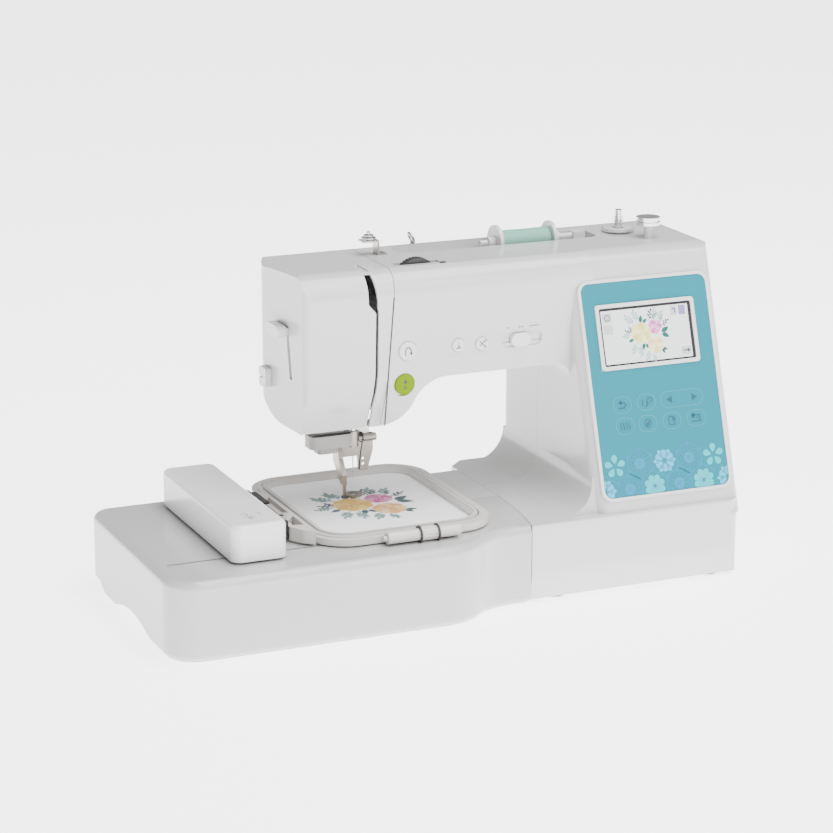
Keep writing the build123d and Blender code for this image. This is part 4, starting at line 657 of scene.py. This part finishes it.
def star_cell(ink, tint, cu, cv, radius):
    """Hexagon filled with the classic six-fold star lattice."""
    corners = hexagon(cu, cv, radius)
    ink.stroke(corners, 1.0, 0, 0.07, closed=True)
    for i in range(6):
        a, b = corners[i], corners[(i + 1) % 6]
        middle = ((cu + a[0] + b[0]) / 3, (cv + a[1] + b[1]) / 3)
        ink.stroke([(cu, cv), a], 0.8, 0, 0.07)
        for end in ((cu, cv), a, b):
            ink.stroke([middle, end], 0.65, 0, INK)
    tint.slab(oval(cu, cv, radius * 0.34), 0, 0.02)
    ink.slab(oval(cu, cv, 1.5, 1.5, 12), 0, 0.08)


def blossom(relief, cu, cv, size, count, turn, broad=0.62):
    for i in range(count):
        angle = turn + 360.0 * i / count
        c, s = math.cos(math.radians(angle)), math.sin(math.radians(angle))
        shape = petal(size * 0.74, size * broad)
        relief.slab(turned(shape, angle, cu + size * 0.2 * c, cv + size * 0.2 * s), 0, 0.035)


def panel_print():
    """Printed keys and the border of hexagons and flowers."""
    low, high = box_mm("operation_panel")
    surface = panel_surface()
    height = (high[2] - low[2]) / LEAN_COS
    middle = (low[0] + high[0]) / 2
    border = rounded_rectangle(middle, height / 2 - 0.2, high[0] - low[0] - 1.2, height - 1.2, 6.6)
    lines = Relief(surface, border)
    for centre, half in ((144.0, 8.3), (166.0, 8.3), (198.5, 19.5)):
        key = rounded_rectangle(centre, at_height(UPPER_KEYS), 2 * half, 13.2, 6.4)
        lines.stroke(key, 0.5, 0, LINE, closed=True)
    for centre in (144.4, 165.1, 187.2, 209.9):
        key = rounded_rectangle(centre, at_height(LOWER_KEYS), 16.6, 13.2, 6.2)
        lines.stroke(key, 0.5, 0, LINE, closed=True)
    icons = Relief(surface)
    key_icons(icons)
    ink = Relief(surface, border)
    tint = Relief(surface, border)
    blue = Relief(surface, border)
    aqua = Relief(surface, border)
    radius = STAR_RADIUS
    upper = at_height(LATTICE_TOP) - radius
    lower = upper - 1.5 * radius
    step = radius * math.sqrt(3)
    stars = ((STAR_X, upper), (STAR_X + 2 * step, upper), (STAR_X - step / 2, lower),
             (STAR_X + 1.5 * step, lower))
    for cu, cv in stars:
        star_cell(ink, tint, cu, cv, radius)
    for cu in (STAR_X - step, STAR_X + 3 * step):
        blossom(aqua, cu, upper, 10.2, 5, 90, 0.52)
    for cu, cv in ((STAR_X + step, upper), (STAR_X - 1.5 * step, lower), (STAR_X + 3.5 * step, lower)):
        blossom(blue, cu, cv, 9.6, 6, 30, 0.66)
        blossom(blue, cu, cv, 11.0, 6, 0, 0.3)
        blossom(ink, cu, cv, 4.4, 6, 0, 0.18)
    for cu in (STAR_X + step / 2, STAR_X + 2.5 * step):
        blossom(aqua, cu, lower, 10.4, 8, 22.5, 0.5)
        blossom(blue, cu, lower, 5.0, 8, 0, 0.3)
    for cu in (STAR_X - 1.5 * step, STAR_X + step / 2, STAR_X + 2.5 * step):
        corners = hexagon(cu, lower, radius)
        ink.stroke([corners[0], corners[1]], 0.9, 0, INK)
    lines.make("key_outlines", plastic("print_outline", (0.035, 0.25, 0.31), 0.4), "machine")
    icons.make("key_icons", plastic("print_icon", (0.004, 0.075, 0.12), 0.4), "machine")
    ink.make("panel_lattice", plastic("print_teal", (0.004, 0.20, 0.34), 0.36), "machine")
    tint.make("panel_stars", plastic("print_star", (0.01, 0.26, 0.44), 0.36), "machine")
    blue.make("panel_blue_flowers", plastic("print_blue", (0.05, 0.42, 0.66), 0.36), "machine")
    aqua.make("panel_aqua_flowers", plastic("print_aqua", (0.01, 0.46, 0.52), 0.36), "machine")


def display():
    """Lit picture on the screen: the flower design, five keys and the marks on some of them."""
    low, high = box_mm("touch_screen")
    surface = panel_surface()
    cu, cv = (low[0] + high[0]) / 2 - 0.6, at_height((SCREEN_BOTTOM + SCREEN_TOP) / 2) - 0.3

    def on_glass(u, v, h):
        return surface(cu + u, cv + v, GLASS_RISE + h)

    back = Relief(on_glass)
    back.slab(rounded_rectangle(0, 0, 79.4, 43.6, 0.6, 3), 0, 0.03)
    back.make("display", lit("display_white", (0.70, 0.715, 0.73), 0.3), "machine")
    tones = {colour: lit(f"display_{colour}", PIXELS[colour], 0.15) for colour in PIXELS}
    flower_design(on_glass, 0.05, 0.03, "display_flower", "machine", tones)
    grey, violet, mark = Relief(on_glass), Relief(on_glass), Relief(on_glass)
    grey.slab(rounded_rectangle(-34.4, 16.0, 8.2, 8.0, 0.8, 3), 0, INK)
    grey.slab(rounded_rectangle(-34.4, 6.4, 8.2, 8.0, 0.8, 3), 0, INK)
    grey.slab(rounded_rectangle(26.6, 17.0, 6.0, 7.4, 0.6, 3), 0, INK)
    grey.slab(rounded_rectangle(34.4, -16.4, 8.6, 6.8, 0.6, 3), 0, INK)
    violet.slab(rounded_rectangle(34.2, 17.0, 6.0, 7.6, 0.6, 3), 0, 0.07)
    mark.stroke(oval(-34.4, 16.0, 2.3, 2.3, 14), 0.7, 0.05, 0.1, closed=True)
    mark.stroke([(31.6, -16.4), (36.6, -16.4)], 1.0, 0.05, 0.1)
    mark.slab([(35.6, -18.2), (38.2, -16.4), (35.6, -14.6)], 0.05, 0.1)
    mark.stroke([(25.4, 18.6), (27.8, 18.6), (27.8, 15.2)], 0.8, 0.05, 0.1)
    grey.make("display_keys", lit("display_grey", (0.50, 0.51, 0.53), 0.2), "machine")
    violet.make("display_key_lit", lit("display_violet", (0.22, 0.22, 0.42), 0.2), "machine")
    mark.make("display_marks", lit("display_mark", (0.06, 0.07, 0.09), 0.05), "machine")


panel_print()
display()


# ---------------------------------------------------------------- marks and details

# Middle X and Z, width and height of the outline round the small buttons and of the slider's shutter.
BUTTON_OUTLINE = (18.3, 204.2, 64.2, 14.8)
SHUTTER = (70.5, 205.0, 44.0, 9.4)
# Heights of the shutter's rear and front above the front face, negative because it lies behind it.
SHUTTER_REAR = -2.85
SHUTTER_FRONT = -2.6
# The groove between head and arm passes GROOVE_X at GROOVE_Z and leans to the right going up.
GROOVE_X = -46.5
GROOVE_Z = 210.0
GROOVE_LEAN = 0.0814
GROOVE_SHIFT = 0.3
GROOVE_HEIGHTS = (146.0, 180.0, 215.0, 249.0)
# The head's left side runs inwards by SIDE_LEAN over SIDE_LENGTH, from SIDE_REAR forwards.
SIDE_LEAN = 5.5
SIDE_REAR = 78.0
SIDE_LENGTH = 100.5
DIAL_MARKER_Z = 269.0
# Planes of the threader hook and of the foot's slot, which face the front.
HOOK_Y = 52.8
SLOT_Y = 53.0
LATHE_SIDES = 48
THREAD_TURNS = 88
THREAD_RADIUS = 8.7
SPOOL_BORE = 2.8
NUT_LEFT = -47.6
NUT_RIGHT = -33.8
NUT_RADIUS = 6.9
WINDER_DISC_TOP = 272.6
GUARD_TOP = 131.0
MARK_DARK = plastic("mark_dark", (0.03, 0.03, 0.035), 0.5)
MARK_GREY = plastic("mark_grey", (0.20, 0.20, 0.205), 0.5)
MARK_PALE = plastic("mark_pale", (0.52, 0.525, 0.53), 0.5)

def button_marks():
    """Generic icons on the four buttons."""
    for node in ("reverse_button", "start_stop_button", "needle_position_button", "thread_cut_button"):
        low, high = box_mm(node)
        cu, cv = (low[0] + high[0]) / 2, (low[2] + high[2]) / 2
        relief = Relief(upright(low[1] + 0.02))
        if node == "reverse_button":
            arch = [(cu - 2.2, cv - 3.2), (cu - 2.4, cv + 0.8), (cu - 1.0, cv + 3.0), (cu + 1.2, cv + 2.8),
                    (cu + 2.4, cv + 0.6), (cu + 2.4, cv - 1.6)]
            relief.stroke(arch, 0.9, 0, INK)
            relief.slab([(cu + 0.9, cv - 1.2), (cu + 2.4, cv - 3.6), (cu + 3.9, cv - 1.2)], 0, INK)
        elif node == "start_stop_button":
            relief.slab(turned(petal(3.4, 2.8), 60, cu - 0.9, cv + 0.4), 0, INK)
            relief.stroke([(cu - 1.0, cv - 3.6), (cu + 0.6, cv - 2.2), (cu - 0.8, cv - 1.4)], 0.9, 0, INK)
        elif node == "needle_position_button":
            relief.stroke([(cu, cv - 1.2), (cu, cv + 3.0)], 0.6, 0, INK)
            relief.stroke([(cu - 2.0, cv - 2.2), (cu + 2.0, cv - 2.2)], 0.8, 0, INK)
            relief.slab([(cu - 1.0, cv - 0.6), (cu + 1.0, cv - 0.6), (cu, cv - 2.0)], 0, INK)
        else:
            relief.stroke([(cu - 2.2, cv + 2.4), (cu + 1.6, cv - 1.6)], 0.7, 0, INK)
            relief.stroke([(cu - 2.2, cv - 1.6), (cu + 1.8, cv + 2.2)], 0.7, 0, INK)
            relief.stroke(oval(cu + 2.4, cv - 2.2, 0.9, 0.9, 10), 0.5, 0, INK, closed=True)
            relief.stroke(oval(cu + 2.6, cv + 2.6, 0.9, 0.9, 10), 0.5, 0, INK, closed=True)
        relief.make(f"{node}_icon", MARK_DARK, node)


def casing_marks():
    """Prints in the plane of the head's front, the slider's shutter and the groove's shadow."""
    low, _ = box_mm("face_cover")
    front = low[1]
    strip = Relief(upright(front + 0.01))
    strip.stroke(rounded_rectangle(*BUTTON_OUTLINE, 2.2, 4), 0.45, 0, LINE, closed=True)
    strip.make("button_strip", MARK_PALE, "machine")
    speed = Relief(upright(front + 0.01))
    for start, count in ((56.2, 1), (66.4, 2), (75.6, 4)):
        for i in range(count):
            speed.slab(oval(start + 2.3 * i, 215.0 + 0.1 * i, 0.95, 0.8, 10), 0, LINE)
    speed.make("speed_marks", MARK_GREY, "machine")
    shutter = Relief(upright(front))
    shutter.slab(rounded_rectangle(*SHUTTER, 1.0, 2), SHUTTER_REAR, SHUTTER_FRONT)
    shutter.make("slider_shutter", WHITE_TRIM, "speed_slider")
    groove = Relief(upright(front + 0.01))
    line = [(GROOVE_X + GROOVE_LEAN * (z - GROOVE_Z) + GROOVE_SHIFT, z) for z in GROOVE_HEIGHTS]
    groove.stroke(line, 1.3, 0, LINE)
    groove.make("groove_shadow", MARK_DARK, "machine")
    guide = Relief(upright(front + 0.01))
    u_shape = [(-55.9, 161.4), (-56.4, 150.4), (-55.0, 148.2), (-52.9, 148.2), (-51.7, 150.4), (-50.9, 161.6)]
    guide.stroke(u_shape, 0.45, 0, LINE)
    guide.stroke([(-64.3, 162.0), (-66.0, 153.4)], 0.45, 0, LINE)
    guide.make("thread_guide_lines", MARK_GREY, "machine")
    pictogram = Relief(upright(front + 0.01))
    wave = [(-99.0, 159.4), (-95.4, 160.6), (-92.0, 159.4), (-88.0, 160.4), (-83.6, 159.0), (-80.6, 160.2)]
    pictogram.stroke(wave, 0.5, 0, LINE)
    pictogram.stroke(oval(-89.6, 156.6, 3.6, 1.6, 14), 0.45, 0, LINE, closed=True)
    pictogram.stroke([(-86.0, 157.4), (-82.6, 158.8), (-80.8, 157.6)], 0.45, 0, LINE)
    pictogram.make("threading_pictogram", MARK_PALE, "machine")


def carriage_marks():
    """Generic pictogram near the carriage's front edge."""
    _, high = box_mm("carriage_cover")
    ink = Relief(level(high[2] - 0.01))
    ink.stroke([(-186.6, -56.0), (-182.4, -52.6), (-180.8, -58.4), (-184.8, -62.4)], 0.8, 0, LINE)
    ink.stroke([(-183.4, -66.0), (-179.6, -60.8), (-176.8, -66.6)], 0.8, 0, LINE)
    ink.stroke([(-177.4, -54.2), (-173.4, -53.2), (-170.4, -56.4), (-172.6, -60.0)], 0.6, 0, LINE)
    ink.slab(turned(leaf(5.0, 2.4), -70, -181.8, -64.6), 0, LINE)
    ink.make("carriage_pictogram", MARK_GREY, "carriage")


def scale_marks():
    """Line and ticks of the threading scale on the head's left side."""
    low, _ = box_mm("face_cover")

    def side(u, v, h):
        lean = SIDE_LEAN * (SIDE_REAR - u) / SIDE_LENGTH
        return ((low[0] + lean - h) * MM, u * MM, v * MM)

    ticks = Relief(side)
    ticks.stroke([(-2.2, 196.0), (-1.4, 213.0)], 0.5, -0.05, 0.05)
    for i in range(4):
        ticks.stroke([(-4.6, 197.0 + 5.0 * i), (-2.0, 197.2 + 5.0 * i)], 0.45, -0.05, 0.05)
    ticks.make("side_scale", MARK_GREY, "machine")


def dial_marker():
    """Black marker on the top beside the tension dial."""
    marker = Relief(level(DIAL_MARKER_Z))
    marker.puff(turned(leaf(6.0, 4.2), 0, 3.4, -5.0), 0.6, 1.0)
    marker.make("dial_marker", DARK, "machine")


def lathe(name, place, profile, look, body):
    """Turned ring; profile lists (radius, height) and place(a, b, height) gives the point in mm."""
    count = LATHE_SIDES
    points, faces = [], []
    for radius, height in profile:
        for i in range(count):
            angle = 2 * math.pi * i / count
            point = place(radius * math.cos(angle), radius * math.sin(angle), height)
            points.append([c * MM for c in point])
    rings = len(profile)
    for ring in range(rings):
        low, high = ring * count, (ring + 1) % rings * count
        faces += [(low + i, low + (i + 1) % count, high + (i + 1) % count, high + i)
                  for i in range(count)]
    mesh = bpy.data.meshes.new(name)
    mesh.from_pydata(points, [], faces)
    piece = bpy.data.objects.new(name, mesh)
    bpy.context.scene.collection.objects.link(piece)
    mesh.materials.append(look)
    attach(piece, body)
    return piece


def middle_of(node_name):
    """Middle of a node's box, in mm."""
    low, high = box_mm(node_name)
    return [(a + b) / 2 for a, b in zip(low, high)]


def winder_trim():
    """White face of the winder's disc and the white stem of the stop."""
    x, y, _ = middle_of("winder_shaft")
    low, high = box_mm("winder_shaft")
    wide = (high[0] - low[0]) / 2
    top = WINDER_DISC_TOP
    disc = [(4.6, top + 0.1), (wide - 0.6, top + 0.1), (wide + 0.1, top - 0.5), (wide + 0.1, top - 1.1),
            (wide - 0.2, top - 1.1), (wide - 0.2, top), (4.6, top)]
    lathe("winder_disc", lambda a, b, h: (x + a, y + b, h), disc, WHITE_TRIM, "winder_shaft")
    low, high = box_mm("winder_stop")
    x_stop, y_stop, _ = middle_of("winder_stop")
    stem = [(4.0, low[2] + 0.05), (3.5, low[2] + 2.0), (3.4, high[2] - 6.5), (3.1, high[2] - 6.5),
            (3.1, low[2] + 0.05)]
    lathe("stop_stem", lambda a, b, h: (x_stop + a, y_stop + b, h), stem, WHITE_TRIM, "machine")


def screw_gaps():
    """Dark rings at both ends of the hoop screw's nut: painted shade in the gaps there."""
    _, y, z = middle_of("hoop_screw")
    # Each ring fills a gap beside the nut with painted shade.
    for name, start in (("screw_gap_shade_left", NUT_LEFT - 1.3), ("screw_gap_shade_right", NUT_RIGHT + 0.1)):
        gap = [(5.0, start), (NUT_RADIUS, start), (NUT_RADIUS, start + 1.2), (5.0, start + 1.2)]
        lathe(name, lambda a, b, h: (h, y + a, z + b), gap, MARK_DARK, "hoop")


def needle_details():
    """Threader hook beside the needle, the foot's shadowed slot and a painted shadow on the guard's top under
    the head.
    """
    hook = Relief(upright(HOOK_Y))
    hook.slab([(-46.0, 113.5), (-41.0, 116.0), (-36.0, 113.0), (-29.5, 114.0), (-28.5, 118.0),
               (-33.0, 119.5), (-38.0, 118.5), (-42.0, 121.0), (-46.5, 120.5)], 0, 1.4)
    hook.make("threader_hook", DARK, "presser")
    slot = Relief(upright(SLOT_Y))
    slot.stroke([(-43.6, 112.5), (-39.8, 111.5), (-41.2, 104.0), (-42.6, 92.0), (-42.6, 88.5)],
                1.1, 0, INK)
    slot.make("foot_slot", MARK_DARK, "presser")
    # The dark band on the guard's top is painted shadow cast by the head above it.
    low, high = box_mm("threader_guard")
    top = Relief(level(GUARD_TOP))
    x = (low[0] + high[0]) / 2
    top.slab(rounded_rectangle(x, low[1] + 2.9, high[0] - low[0] - 3, 4.4, 1.8, 4), 0, 0.3)
    top.make("guard_painted_shadow", DARK, "machine")


def wound_thread():
    """Thread wound in close turns on its core."""
    _, y, z = middle_of("thread_spool")
    low, high = box_mm("thread_spool")
    steps = THREAD_TURNS * 2
    profile = [(SPOOL_BORE, low[0])]
    for ring in range(steps + 1):
        t = ring / steps
        swell = 0.35 * math.sin(math.pi * t) ** 0.4 + 0.12 * math.sin(9.0 * t)
        radius = THREAD_RADIUS + swell + (0.16 if ring % 2 else 0.0)
        profile.append((radius, low[0] + (high[0] - low[0]) * t))
    profile.append((SPOOL_BORE, high[0]))
    piece = lathe("wound_thread", lambda a, b, h: (h, y + a, z + b), profile, THREAD, "thread_spool")
    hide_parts("thread_spool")

button_marks()
casing_marks()
carriage_marks()
scale_marks()
dial_marker()
winder_trim()
screw_gaps()
needle_details()
wound_thread()
